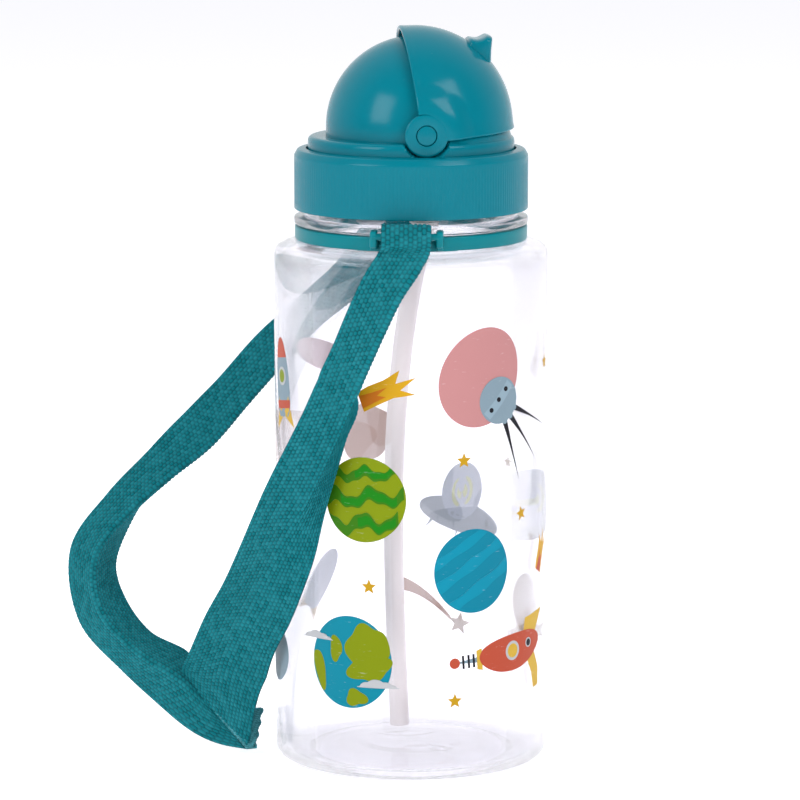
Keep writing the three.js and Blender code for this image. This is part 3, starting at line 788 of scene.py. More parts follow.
def thread_height(angle, z, start_z, turns):
    """How much of a thread's ridge stands at an angle and height: 1 on its crest, 0 off it.

    The ridge's middle climbs by the pitch each turn and its ends fade out over 20 degrees.
    """
    lift = np.zeros(np.broadcast(angle, z).shape)
    for lap in (0, 1, 2):
        run = np.mod(angle, 2 * np.pi) + lap * 2 * np.pi
        ends = np.clip(np.minimum(run, turns * 2 * np.pi - run) / 0.35, 0, 1)
        away = np.abs(z - start_z - THREAD_PITCH * run / (2 * np.pi))
        lift = np.maximum(lift, ends * np.clip((0.95 - away) / 0.47, 0, 1))
    return lift


def bottle_shell(sides):
    """The bottle: an outer and an inner wall turned from one closed outline.

    The neck's outer wall is pushed out by the thread. Two oval rings stand on the base.
    """
    r, inner = BODY_RADIUS - 0.05, BODY_RADIUS - 1.3
    neck = NECK_RADIUS
    outside = [
        (0, 3.2), (14, 2.8, 8), (23.5, 1.9, 2), (26.2, 0.0, 0.8), (29.2, 0, 1.5),
        (r, 1.4, 5.4), (r, 133.0, 5.0), (29.6, 134.3, 0.6), (neck, 134.2, 0.3),
        (neck, 138.6, 0.3), (29.8, 138.6, 0.5), (29.8, 140.5, 0.6), (neck, 140.7, 0.4),
        (neck, NECK_TOP, 0.5), (24.4, NECK_TOP, 0.5), (24.6, 133.3, 1.2),
        (inner, 131.9, 4.6), (inner, 2.2, 5.2), (24.5, 2.6, 2), (12, 4.0, 4), (0, 4.4),
    ]  # fmt: skip
    profile = rounded(outside, 0.5, steps=9, reach=1.4)
    radius, height = profile.T
    plain = np.flatnonzero((np.abs(radius - neck) < 0.1) & (height > 141.2) & (height < 151))
    fine = [[neck, z] for z in (141.6, *np.linspace(142.3, 149.8, 76), 150.6)]
    profile = np.concatenate([profile[: plain[0]], fine, profile[plain[-1] + 1 :]])
    shell = turned(profile, sides, closed=False)
    p = shell.points
    radius, angle = np.hypot(p[:, 0], p[:, 1]), np.arctan2(p[:, 1], p[:, 0])
    on_neck = (np.abs(radius - neck) < 0.1) & (p[:, 2] > 141.5) & (p[:, 2] < 150.7)
    ridge = 1.1 * thread_height(angle, p[:, 2], 143.5, 1.25)
    p[:, :2] *= (1 + on_neck * ridge / np.maximum(radius, 1))[:, None]
    under = (p[:, 2] < 3.3) & (radius < 24)
    for centre, size in (((2.5, -9.5), (6.0, 2.9)), ((-0.5, 6.5), (5.6, 2.7))):
        ring = np.hypot((p[:, 0] - centre[0]) / size[0], (p[:, 1] - centre[1]) / size[1])
        p[:, 2] -= under * 0.35 * np.exp(-(((ring - 1) / 0.13) ** 2))
    return shell


class BOTTLE_OT_body(bpy.types.Operator):
    """Build the clear bottle with its neck thread and moulded base"""

    bl_idname = "bottle.body"
    bl_label = "Clear bottle"

    def execute(self, context):
        shell = bottle_shell(context.scene.bottle_sizes.sides)
        clear = clear_plastic("clear_plastic")
        make_piece("clear_bottle", shell, clear, "bottle", ("bottle_shell",), 35)
        return {"FINISHED"}


# ---- Printed pictures ----


def wrap_on_body(flat, angle, z, lift):
    """Flat millimetres laid round the body: x becomes an angle round it, y a height."""
    around = math.radians(angle) + flat[..., 0] / BODY_RADIUS
    r = BODY_RADIUS + lift
    return np.stack([r * np.cos(around), r * np.sin(around), z + flat[..., 1]], -1)


def tilted(x, y, degrees):
    """Flat points turned about their origin."""
    c, s = math.cos(math.radians(degrees)), math.sin(math.radians(degrees))
    return np.stack([x * c - y * s, x * s + y * c], -1)


class Picture:
    """Flat shapes printed together round one place on the body."""

    def __init__(self, angle, z, turn=0.0, size=1.0):
        self.angle, self.z, self.turn, self.size = angle, z, turn, size
        self.shells = []
        self.layer = 0

    def _slab(self, flat, ink, wrap):
        """A thin closed slab over a grid of flat points, pale on the side next to the body."""
        flat = tilted(flat[..., 0] * self.size, flat[..., 1] * self.size, self.turn)
        self.layer += 1
        top = wrap_on_body(flat, self.angle, self.z, 0.02 + 0.02 * self.layer)
        bottom = wrap_on_body(flat, self.angle, self.z, 0.001 * self.layer)
        grid = np.concatenate([top, bottom[:, ::-1]], 1)
        ink = np.array(ink) * 0.8
        pale = ink * 0.8 + 0.32
        tint = np.concatenate([np.broadcast_to(ink, top.shape), np.broadcast_to(pale, top.shape)], 1)
        closing = {"wrap_rows": wrap, "wrap_columns": not wrap, "mirror_caps": not wrap}
        self.shells.append(Shell(grid, ink=tint, **closing))

    def outline(self, points, ink):
        """A filled outline: each point joined to the middle by a straight line."""
        points = np.asarray(points, float)
        if len(points) < 40:
            loop = np.vstack([points, points[:1]])
            gaps = np.r_[0, np.cumsum(np.hypot(*np.diff(loop, axis=0).T))]
            count = max(24, int(gaps[-1] / 0.5))
            at = np.union1d(gaps[:-1], np.linspace(0, gaps[-1], count, endpoint=False))
            points = np.stack([np.interp(at, gaps, loop[:, k]) for k in range(2)], 1)
        middle = points.mean(axis=0)
        reach = np.hypot(*(points - middle).T).max()
        t = np.linspace(0, 1, max(3, int(reach / 1.2)))[None, :, None]
        self._slab(middle + (points[:, None] - middle) * t, ink, True)

    def blob(self, x, y, radii, ink, turn=0.0, wobble=()):
        """An ellipse whose radius also swings by a few sines of the angle."""
        a = np.linspace(0, 2 * np.pi, 72, endpoint=False)
        swing = 1 + sum(size * np.sin(k * a + shift) for k, size, shift in wobble)
        px, py = radii[0] * np.cos(a) * swing, radii[1] * np.sin(a) * swing
        self.outline(np.array([x, y]) + tilted(px, py, turn), ink)

    def disc(self, x, y, radius, ink):
        """A plain round spot."""
        self.blob(x, y, (radius, radius), ink)

    def star(self, x, y, reach, ink, turn=0.0):
        """A star of five: the radius steps between the tips and the notches."""
        a = np.radians(90 + turn) + np.arange(10) * np.pi / 5
        r = np.where(np.arange(10) % 2 == 0, reach, reach * 0.45)
        self.outline(np.stack([x + r * np.cos(a), y + r * np.sin(a)], 1), ink)

    def strip(self, lower, upper, ink):
        """The band between two curves that run side by side."""
        t = np.linspace(0, 1, 3)[None, :, None]
        lower, upper = np.asarray(lower, float), np.asarray(upper, float)
        self._slab(lower[:, None] + (upper - lower)[:, None] * t, ink, False)

    def between(self, x, low, high, ink):
        """The band between two heights over the same places along x."""
        self.strip(np.stack([x, low], 1), np.stack([x, high], 1), ink)

    def stripes(self, radius, bands, tilt):
        """Wavy bands across a round planet, each cut off where it meets the planet's edge.

        A band has its height and width, the size, run and shift of its wave, the share of
        the planet's radius where it starts and stops, and its ink.
        """
        x = np.linspace(-0.985, 0.985, 70) * radius
        edge = np.sqrt(np.maximum(radius**2 * 0.985 - x**2, 0))
        for height, width, wave, run, shift, start, stop, ink in bands:
            middle = height + wave * np.sin(x * run + shift) + 0.35 * wave * np.sin(2.3 * x * run)
            half = width / 2 * (1 + 0.16 * np.sin(x * 0.6 + shift))
            low, high = np.clip(middle - half, -edge, edge), np.clip(middle + half, -edge, edge)
            use = (high - low > 0.12) & (x > start * radius) & (x < stop * radius)
            self.strip(tilted(x[use], low[use], tilt), tilted(x[use], high[use], tilt), ink)


LIME, LEAF, LEAF_DARK = (0.22, 0.29, 0.001), (0.008, 0.22, 0.004), (0.04, 0.19, 0.003)
SEA, LAND = (0.0, 0.24, 0.34), (0.22, 0.28, 0.0)
SKY_BLUE, SKY_LIGHT, PALE_BLUE = (0.0, 0.22, 0.33), (0.0, 0.27, 0.4), (0.4, 0.5, 0.6)
GOLD, ORANGE, AMBER = (0.56, 0.32, 0.01), (0.6, 0.17, 0.01), (0.66, 0.36, 0.01)
STRAW_YELLOW, BEIGE, PEACH = (0.66, 0.42, 0.05), (0.62, 0.45, 0.3), (0.66, 0.36, 0.22)
PINK, ROSE, CORAL = (0.55, 0.25, 0.25), (0.62, 0.3, 0.3), (0.5, 0.08, 0.04)
STEEL, CLOUD, INKY = (0.23, 0.32, 0.38), (0.5, 0.51, 0.53), (0.01, 0.01, 0.015)


def gold_star(angle, z, reach=2.0, turn=0.0):
    """One small star."""
    picture = Picture(angle, z, turn)
    picture.star(0, 0, reach, GOLD)
    return picture


def wavy_planet(angle, z):
    """A lime planet with three ragged dark green bands."""
    picture = Picture(angle, z)
    picture.blob(0, 0, (10.8, 10.8), LIME)
    picture.stripes(
        10.8,
        [
            (6.4, 2.6, 0.9, 0.75, 1.2, -0.75, 0.9, LEAF_DARK),
            (6.6, 1.6, 0.9, 0.75, 1.2, -0.2, 0.85, LEAF),
            (0.4, 3.2, 1.2, 0.62, 0.4, -1, 0.97, LEAF_DARK),
            (0.4, 2.1, 1.2, 0.62, 0.4, -0.6, 0.8, LEAF),
            (-6.2, 3.2, 1.2, 0.66, 2.0, -0.95, 0.8, LEAF_DARK),
            (-6.3, 2.0, 1.2, 0.66, 2.0, -0.2, 0.75, LEAF),
        ],
        4,
    )
    return picture


def round_globe(angle, z):
    """A blue globe with green lands and two grey clouds."""
    picture = Picture(angle, z, 0)
    picture.blob(0, 0, (11.2, 11.8), SEA)
    picture.blob(4.6, 4.6, (5.2, 5.6), LAND, -30, ((2, 0.12, 0.5), (3, 0.12, 1.0), (5, 0.07, 2)))
    picture.blob(5.2, -1.2, (5.4, 3.6), LAND, 10, ((2, 0.1, 1.5), (4, 0.12, 0.4)))
    picture.blob(-4.0, 3.2, (1.7, 3.3), LAND, 12, ((2, 0.15, 0.2), (3, 0.12, 2.0)))
    picture.blob(-8.9, -2.6, (1.6, 5.2), LAND, 14, ((3, 0.1, 0.2),))
    picture.blob(1.8, -9.0, (2.7, 2.2), LAND, -20, ((2, 0.1, 0.2), (3, 0.18, 1.0)))
    picture.layer += 1
    humps = ((-1.9, 1.1), (-0.4, 1.7), (1.2, 1.25), (2.4, 0.7))
    for x, y, size in ((-9.8, 5.0, 1.45), (7.6, -6.2, 1.6)):
        spread = np.linspace(-3.4, 3.4, 40) * size
        tops = [np.sqrt(np.maximum((h * size) ** 2 - (spread - c * size) ** 2, 0)) for c, h in humps]
        high = np.maximum(np.max(tops, axis=0) * 0.8, 0.12 * size)
        picture.between(x + spread, y + 0 * high, y + high, CLOUD)
    return picture


def striped_planet(angle, z):
    """A blue planet with soft slanting stripes."""
    picture = Picture(angle, z)
    picture.blob(0, 0, (10.5, 10.7), SKY_BLUE)
    bands = [
        (6.9, 2.2, 0.0, 0.3, 0.0, -1, 1, SKY_LIGHT),
        (1.6, 2.6, 0.1, 0.3, 1.0, -1, 1, SKY_LIGHT),
        (-4.6, 2.8, 0.1, 0.3, 2.0, -1, 1, SKY_LIGHT),
    ]
    picture.stripes(10.5, bands, 32)
    return picture


def plain_planet(angle, z):
    """A plain pink planet."""
    picture = Picture(angle, z, -28)
    picture.blob(0.4, 0, (11.0, 13.2), PINK, 0, ((2, 0.02, 0.8),))
    return picture


def space_probe(angle, z):
    """A round grey probe with three ports and three long aerials."""
    picture = Picture(angle, z, -42)
    spike = np.array([(4.6, 0.85), (4.6, -0.85), (12.6, -0.3), (22.1, 0), (12.6, 0.3)])
    for lean in (-19, 6, 29):
        picture.outline(tilted(*spike.T, -lean), INKY)
        picture.disc(*tilted(5.6, 0, -lean), 0.9, STEEL)
    picture.blob(0, 0, (5.9, 6.0), STEEL)
    t = np.linspace(0, 1, 30)
    belt = np.stack([-1.5 + 0.35 * np.sin(t * 3), 10.8 * t - 5.4], 1)
    picture.strip(belt, belt + [2.4, 0], tuple(c * 1.22 for c in STEEL))
    for y in (-3.4, 0, 3.4):
        picture.disc(-0.3, y, 0.62, INKY)
    return picture


def flame(angle, z, turn, size, inks=(AMBER, ORANGE)):
    """A fiery tail that ends in three tongues, darker at its root."""
    picture = Picture(angle, z, turn, size)
    outer = [
        (0, -2.5), (4, -2.0), (8, -1.6), (13.2, -2.6), (10.2, -0.4), (14.6, 1.2), (9.6, 1.5),
        (11.6, 4.2), (7.2, 3.2), (3, 3.0), (0, 2.4),
    ]  # fmt: skip
    core = [(0, -1.7), (3.2, -1.2), (6.4, -0.8), (4.4, 0.2), (7.4, 1.3), (3.4, 1.3), (0, 1.5)]
    picture.outline(outer, inks[0])
    picture.outline(core, inks[1])
    return picture


def rocket(angle, z, turn, size, body=STEEL, nose=CORAL, fin=STRAW_YELLOW, window=LIME):
    """A cartoon rocket lying along x: fins, hull, nose cone, a round window and a band."""
    picture = Picture(angle, z, turn, size)
    for side in (1, -1):
        picture.outline([(-7.4, 0), (-10.6, 4.6 * side), (-6.4, 3.4 * side), (-3.4, 2.8 * side)], fin)
    x = np.linspace(-8, 10, 40)
    half = 3.7 * np.sqrt(np.clip(1 - ((x + 1.5) / 11.5) ** 2, 0.001, 1))
    half = half * np.clip((x + 12.5) / 6, 0.6, 1)
    for part, ink in ((x > -9, body), (x > 5.2, nose), ((x > -6.2) & (x < -4.2), nose)):
        picture.between(x[part], -half[part], half[part], ink)
    picture.disc(1.2, 0, 2.1, CLOUD)
    picture.disc(1.2, 0, 1.5, window)
    return picture


def red_rocket(angle, z):
    """A red rocket with yellow fins, two round windows and a ringed nose aerial."""
    picture = Picture(angle, z, 4)
    lower_fin = [(8.5, -3.2), (12.6, -2.6), (14.6, -7.0), (14.2, -11.6), (11.4, -11.8), (10.6, -7.4)]
    picture.outline(lower_fin, STRAW_YELLOW)
    picture.outline([(7.2, 3.2), (8.4, 7.4), (17.6, 8.0), (13.0, 2.6)], STRAW_YELLOW)
    picture.outline([(-14.2, -0.2), (-8.0, -0.7), (-8.0, 0.8), (-14.2, 0.2)], STEEL)
    for x in (-12.7, -11.2, -9.8):
        picture.outline([(x - 0.28, -1.7), (x + 0.28, -1.7), (x + 0.28, 1.7), (x - 0.28, 1.7)], INKY)
    picture.disc(-15.0, 0, 1.35, CORAL)
    picture.outline([(-8.9, -2.4), (-7.4, -2.8), (-7.4, 2.8), (-8.9, 2.4)], STRAW_YELLOW)
    picture.blob(3.2, 0, (11.2, 4.8), CORAL, 0, ((2, 0.04, 0.6), (3, 0.05, 0.2)))
    for x, y, size, ink in ((2.6, 0.2, 2.5, STRAW_YELLOW), (9.2, 0.8, 1.25, INKY)):
        picture.disc(x, y, size, CLOUD)
        picture.disc(x, y, size * 0.72, ink)
    return picture


def saucer(angle, z, turn=-12, size=1.0):
    """A flying saucer: glass dome, wide hull with lamps and three short legs."""
    picture = Picture(angle, z, turn, size)
    picture.blob(1.0, 3.6, (4.6, 6.6), PALE_BLUE)
    picture.blob(1.0, 3.4, (2.5, 4.2), (0.55, 0.62, 0.12))
    for x in (-5.5, 0, 5.5):
        picture.outline([(x - 0.5, -3.4), (x + 0.5, -3.4), (x * 1.3, -7.0)], STEEL)
    picture.blob(0, -2.0, (9.6, 3.6), STEEL)
    for x in (-5.6, -2.0, 2.0, 5.6):
        picture.disc(x, -2.2, 0.8, (0.6, 0.3, 0.15))
    return picture


def comet(angle, z, turn):
    """A star with a long curved tail that widens away from it."""
    picture = Picture(angle, z, turn)
    t = np.linspace(0, 1, 40)
    x, y = 1.8 + 15 * t, 9.5 * (1 - (1 - t) ** 1.7)
    half = 0.5 + 1.5 * t
    picture.between(x, y - half, y + half, (0.62, 0.3, 0.16))
    picture.between(x, y, y + half * 0.8, BEIGE)
    picture.star(-0.6, -1.2, 3.1, BEIGE, 10)
    return picture


def all_pictures():
    """Every printed picture with the place where it stands: an angle round the body, a height."""
    stars = [
        (-113.0, 50.6), (-77.1, 21.3), (-43.0, 67.2, 2.0, 12), (-73.3, 82.5), (-20.8, 104.2),
        (160, 118), (37.8, 72.4, 1.6), (19.0, 54.5, 1.6), (120, 60), (95, 20),
    ]  # fmt: skip
    return [
        wavy_planet(-115.1, 72.7), round_globe(-121.6, 31.0), striped_planet(-68.8, 54.3),
        plain_planet(-65.6, 103.4), space_probe(-56.5, 97.0), *(gold_star(*star) for star in stars),
        flame(-116.5, 97.4, 20, 1.05), rocket(-163.8, 99.6, 98, 1.12), red_rocket(-52.7, 32.0),
        flame(-28.5, 51.0, 62, 0.75, (AMBER, CORAL)),
        saucer(61.5, 58.8, 15, 1.2), rocket(128, 40.5, 125, 0.95, PALE_BLUE, ROSE),
        comet(64.0, 28.6, 0), rocket(128, 101, 20, 1.0, (0.6, 0.3, 0.3), ROSE, BEIGE),
        flame(17, 97, 115, 1.05, (BEIGE, BEIGE)), rocket(12, 72, 96, 1.0, PALE_BLUE, PALE_BLUE, STEEL),
    ]  # fmt: skip


def moons():
    """Plain rounded shapes: a grey moon, a beige moon and a peach cloud planet."""
    grey, beige, peach = Picture(-171.0, 28.9), Picture(22.5, 35.4), Picture(105, 79)
    grey.blob(0, 0, (7.6, 7.4), STEEL, 0, ((3, 0.02, 1),))
    beige.blob(0, 0, (7.2, 8.8), BEIGE, 8, ((2, 0.04, 0.4),))
    peach.blob(0, 0, (7.6, 7.6), PEACH, 10, ((3, 0.05, 0.4), (5, 0.05, 1.0)))
    return [grey, beige, peach]


class BOTTLE_OT_pictures(bpy.types.Operator):
    """Print the space pictures round the body"""

    bl_idname = "bottle.pictures"
    bl_label = "Printed pictures"

    def execute(self, context):
        ink = print_ink("print_ink")
        shells = [shell for picture in all_pictures() + moons() for shell in picture.shells]
        make_piece("printed_pictures", shells, ink, "bottle", sharp=60)
        return {"FINISHED"}


# ---- The lid ----


def screw_ring(ribs):
    """The screw ring: a turned shell whose outside wall swings in and out once for each rib."""
    outline = closed_outline(
        [
            (29.75, 142.3, 0.35), (29.75, 156.0, 1.2), (28.9, 157.5, 0.9), (26.7, 157.8, 0.25),
            (26.7, 155.7, 0.2), (28.3, 155.7, 0.3), (28.3, 142.3, 0.25),
        ],
        0.3, steps=7, reach=1.5,
    )  # fmt: skip
    shell = turned(outline, ribs * 5)
    p = shell.points
    radius, angle = np.hypot(p[:, 0], p[:, 1]), np.arctan2(p[:, 1], p[:, 0])
    ribbed = np.clip(np.minimum(p[:, 2] - 142.9, 155.6 - p[:, 2]) / 0.5, 0, 1)
    depth = 0.07 * np.clip((radius - 29.3) / 0.4, 0, 1) * ribbed
    p[:, :2] *= (1 - depth * (0.5 + 0.5 * np.cos(angle * ribs)) / radius)[:, None]
    return shell


def inner_thread():
    """The ring's thread: a flat-topped ridge on a helix, sunk into the ring's wall."""
    run = np.linspace(0, 1.25 * 2 * np.pi, 220)
    inward = np.stack([np.cos(run), np.sin(run), 0 * run], 1)
    up = np.array([0, 0, 1.0])
    path = (143.9 + THREAD_PITCH * run / (2 * np.pi))[:, None] * up - 28.5 * inward
    fade = np.clip(np.minimum(run, run[-1] - run) / 0.3, 0.05, 1)[:, None, None]
    section = closed_outline([(0, -0.95), (1.5, -0.5), (1.5, 0.5), (0, 0.95)], 0.2, 3, 1)
    grid = path[:, None] + section[None, :, :1] * fade * inward[:, None] + section[None, :, 1:] * up
    ends = grid.mean(axis=1, keepdims=True)
    grid[0], grid[-1] = ends[0], ends[-1]
    return Shell(grid, wrap_columns=True)


class BOTTLE_OT_screw_ring(bpy.types.Operator):
    """Build the ribbed screw ring with its inner thread"""

    bl_idname = "bottle.screw_ring"
    bl_label = "Screw ring"

    def execute(self, context):
        teal = glossy_teal("teal_screw_ring", tuple(context.scene.bottle_colours.lid), 0.2)
        shells = [screw_ring(context.scene.bottle_sizes.ribs), inner_thread()]
        make_piece("ribbed_screw_ring", shells, teal, "collar", ("screw_ring",), 50)
        return {"FINISHED"}


def lid_disc():
    """Plug skirt, flange, collar and deck turned from one outline.

    Beside each hinge stud the collar is cut back: a point inside a level cylinder round the
    hinge, and further out than the dome, is brought in to the dome's side. In front the
    collar's inner rim rises to just under the cover's lip, and behind the hinge its lining
    comes in to the dome.
    """
    lining = 22.9  # the radius of the collar's inner wall
    outline = rounded(
        [
            (0, 156.4), (22.4, 156.4, 0.8), (22.4, 147.5, 0.4), (24.0, 147.5, 0.7),
            (24.0, 153.95, 0.3), (27.8, 153.95, 0.2), (27.8, 155.3, 0.2), (26.25, 155.3, 0.2),
            (26.25, 160.9, 2.4), (lining, 160.9, 0.3), (lining, 158.2, 0.3), (0, 158.2),
        ],
        0.3, steps=8, reach=0.5,
    )  # fmt: skip
    shell = turned(outline, 360, closed=False)
    p = shell.points
    away = np.hypot(p[:, 0] - PIVOT[0], p[:, 2] - PIVOT[2])
    depth = np.abs(p[:, 1]) - 23.2
    inside = np.clip((6.1 - away) / 0.25, 0, 1) * (depth > 0) * (p[:, 2] > 156.9)
    p[:, 1] -= np.sign(p[:, 1]) * inside * np.maximum(depth, 0)
    radius = np.hypot(p[:, 0], p[:, 1])
    lift = 0.7 + 0.049 * (p[:, 0] - PIVOT[0])
    rim = (radius > 22.4) & (radius < 25.4) & (p[:, 2] > 160.4)
    p[:, 2] += rim * lift * np.clip((p[:, 0] - 3) / 4, 0, 1) * np.clip((25.4 - radius) / 0.5, 0, 1)
    on_lining = (np.abs(radius - lining) < 0.45) & (p[:, 2] > 158.3)
    behind = np.maximum(-p[:, 0] / radius.clip(1), 0)
    p[:, :2] *= (1 - on_lining * 1.4 * behind / radius.clip(1))[:, None]
    return shell


def dome_shell():
    """The fixed half dome: a slice of a ball's shell from its foot to a rounded front edge.

    A point is at a latitude along the hinge and an angle round it. The outline goes up
    outside, round the edge where the angle swells by half a millimetre, and down inside.
    """
    outer, inner, edge = DOME_OUTER, DOME_INNER, math.radians(84)
    latitude = np.linspace(-np.pi / 2, np.pi / 2, 141)
    climb = np.linspace(np.pi, edge, 90)
    level = np.ones(len(climb))
    across = np.linspace(-1, 1, 9)[1:-1]
    r = np.r_[level * outer, (outer + inner) / 2 - across * (outer - inner) / 2, level * inner]
    angle = np.r_[climb, np.full(len(across), edge), climb[::-1]]
    swell = np.r_[level * 0, 0.45 * np.sqrt(1 - across**2), level * 0]
    rho = np.maximum(r[:, None] * np.cos(latitude), 0.4)
    turn = angle[:, None] - swell[:, None] / rho
    x = PIVOT[0] + r[:, None] * np.cos(latitude) * np.cos(turn)
    z = PIVOT[2] + r[:, None] * np.cos(latitude) * np.sin(turn)
    y = r[:, None] * np.sin(latitude) + 0 * turn
    grid = np.stack([x, y, z], -1)
    foot = [grid[:1] - [0, 0, d] for d in (5.4, 3.6, 1.8)]
    heel = [grid[-1:] - [0, 0, d] for d in (1.8, 3.6, 5.4)]
    return Shell(np.concatenate([*foot, grid, *heel]), wrap_rows=True)


def hinge_cheek(side):
    """The round rest of the dome behind an ear, its foot and the stud that the ear turns on."""
    reach = 6.2
    curve = np.radians((76, 79, 82, 85, 88))
    cap = [(0, 21.2), (reach, 21.2, 0.2), (reach, 22.3, 0.3)]
    cap += [(DOME_OUTER * math.cos(a), DOME_OUTER * math.sin(a), 0.1) for a in curve]
    cap += [(0, DOME_OUTER)]
    stud = [(0, 22), (STUD_RADIUS, 22), (STUD_RADIUS, 25.1, 0.35), (0, 25.25)]
    outlines = [rounded(part, 0.2, 5, 1) for part in (cap, stud)]
    shells = [turned_about(part, PIVOT, (0, side, 0), closed=False) for part in outlines]
    near, far = sorted((side * 20.6, side * 22.3))
    foot = rounded_block((PIVOT[0] - reach, near, 158.0), (PIVOT[0] + reach, far, 163.2), 0.3, 6)
    return [*shells, foot]


def lid_sockets():
    """The straw's socket and the vent under the deck, each a turned sleeve."""
    socket = closed_outline([(4.2, 141.5), (5.8, 141.5), (5.8, 157.0), (4.2, 158.25)], 0.3, 5, 1.5)
    vent = closed_outline([(1.3, 141.5), (4.0, 141.5), (4.0, 157.0), (1.3, 158.25)], 0.3, 5, 1.5)
    return [turned(socket, 64, (SPOUT_X, 0)), turned(vent, 48, VENT_PLACE)]


class BOTTLE_OT_lid(bpy.types.Operator):
    """Build the lid: collar, deck, fixed dome, hinge studs and sockets"""

    bl_idname = "bottle.lid"
    bl_label = "Lid"

    def execute(self, context):
        teal = glossy_teal("teal_lid", tuple(context.scene.bottle_colours.lid))
        shells = [lid_disc(), dome_shell(), *hinge_cheek(1), *hinge_cheek(-1), *lid_sockets()]
        make_piece("domed_lid", shells, teal, "lid", ("lid_core",), 50)
        seal = soft_clear("seal_silicone", (0.82, 0.82, 0.8), 0.35, 0.45)
        ring = closed_outline([(24.4, 152.4), (27.0, 152.4), (27.0, 153.65), (24.4, 153.65)], 0.35, 5, 1)
        make_piece("rim_seal", turned(ring, 128), seal, "lid", ("neck_gasket",))
        return {"FINISHED"}


def cover_sheet():
    """The flip cover: a slice of a ball's shell between a lower lip and a rear rim.

    For each place along the hinge the slice is a ring, and the lip and the rim are where two
    planes cross it. The lip flares out, both edges are rounded, and round each ear the sheet
    rises to the ear's face.
    """
    outer, inner = COVER_OUTER, COVER_INNER
    latitude = np.radians(np.linspace(-79.5, 79.5, 221))
    rho = outer * np.cos(latitude)
    lip_tilt, lip_below = math.radians(2.8), 1.97  # where the two planes lie from the centre
    rim_tilt, rim_behind = math.radians(7.4), 0.489
    start = lip_tilt + np.arcsin(np.clip(-lip_below / rho, -1, 1))
    stop = rim_tilt + np.arccos(np.clip(-rim_behind / rho, -1, 1))
    t = np.linspace(0, 1, 110)[:, None]
    t = t - 0.12 * np.sin(2 * np.pi * t) / np.pi
    sweep = start + (stop - start) * t
    edge = np.linspace(-1, 1, 9)[1:-1][:, None]
    middle, half = (outer + inner) / 2, (outer - inner) / 2
    across = edge * half + 0 * rho
    r = np.concatenate(
        [np.full_like(sweep, outer), middle - across, np.full_like(sweep, inner), middle + across]
    )
    round_off = 0.4 * np.sqrt(1 - edge**2) / rho
    angle = np.concatenate([sweep, stop + round_off, sweep[::-1], start - round_off])
    from_lip = (angle - start) * rho
    from_rim = (stop - angle) * rho
    flare = 0.4 * np.exp(-np.maximum(from_lip, 0) / 1.2) + 0.22 * np.exp(-((from_rim / 1.1) ** 2))
    grow = (r + flare) / outer
    x = COVER_CENTRE[0] + grow * rho * np.cos(angle)
    z = COVER_CENTRE[2] + grow * rho * np.sin(angle)
    y = grow * outer * np.sin(latitude) + 0 * x
    t = np.clip((np.hypot(x - PIVOT[0], z - PIVOT[2]) - 4.8) / 8.0, 0, 1)
    blend = t**2 * (3 - 2 * t)
    depth = EAR_FACE - np.where(r > middle, 0, outer - inner)
    y = np.sign(y) * (depth * (1 - blend) + np.abs(y) * blend)
    grid = np.stack([x, y, z], -1).transpose(1, 0, 2)
    return Shell(grid, wrap_columns=True, mirror_caps=True)


def cover_ear(side):
    """An ear: a rounded ring that turns on the lid's stud."""
    corners = [(EAR_HOLE, 23.5), (EAR_REACH, 23.5), (EAR_REACH, 25.25, 0.7), (EAR_HOLE, 25.25, 0.2)]
    return turned_about(closed_outline(corners, 0.4, 7, 1), PIVOT, (0, side, 0), 96)


def thumb_tab():
    """The thumb tab: an outline in the plane across the hinge, carried along it and drawn in
    a little towards its middle near both ends."""
    outline = closed_outline(
        [
            (11.6, 20.6), (13.0, 22.7, 1), (15.4, 22.3, 3), (17.6, 23.4, 1), (18.9, 22.9, 1.4),
            (18.6, 19.6, 3), (18.5, 16.2, 0.8), (16.6, 15.0),
        ],
        0.6, 8, 0.6,
    )  # fmt: skip
    middle = np.array([15.2, 19.0])
    t = np.sin(np.linspace(-np.pi / 2, np.pi / 2, 61))
    shrink = np.maximum(1 - np.abs(t) ** 3.6, 0) ** (1 / 2.6)
    flat = middle + (outline[None] - middle) * (0.6 + 0.4 * shrink[:, None, None])
    flat[0], flat[-1] = middle, middle
    y = np.broadcast_to(6.2 * t[:, None], flat.shape[:2])
    grid = np.stack([PIVOT[0] + flat[..., 0], y, PIVOT[2] + flat[..., 1]], -1)
    return Shell(grid, wrap_columns=True)


class BOTTLE_OT_cover(bpy.types.Operator):
    """Build the flip cover with its ears and thumb tab"""

    bl_idname = "bottle.cover"
    bl_label = "Flip cover"

    def execute(self, context):
        teal = glossy_teal("teal_cover", tuple(context.scene.bottle_colours.lid), 0.14)
        shells = [cover_sheet(), cover_ear(1), cover_ear(-1), thumb_tab()]
        make_piece("round_flip_cover", shells, teal, "cover", ("flip_cover",), 50)
        return {"FINISHED"}


# ---- Spout, straw and valve ----


def spout_shell():
    """The folded spout: a tube along x whose wall thins, with a round heel and a beaded mouth."""
    outline = rounded(
        [
            (0, -3.9), (2.6, -3.6, 2), (3.9, -1.4, 2), (3.9, 3, 2), (3.55, 8, 4), (3.7, 16.6, 1),
            (4.3, 17.4, 0.4), (4.3, 19.0, 0.5), (3.6, 19.2, 0.4), (2.0, 18.9, 0.5), (1.9, 1.2, 0.6), (0, 0.5),
        ],
        0.4, steps=7, reach=0.5,
    )  # fmt: skip
    shell = turned_about(outline, (SPOUT_X, 0, SPOUT_Z), (1, 0, 0), 72, closed=False)
    p = shell.points
    along = np.clip((p[:, 0] - SPOUT_X - 6) / 12, 0, 1)
    p[:, 2] = SPOUT_Z + (p[:, 2] - SPOUT_Z) * (1 - 0.14 * along)
    return shell


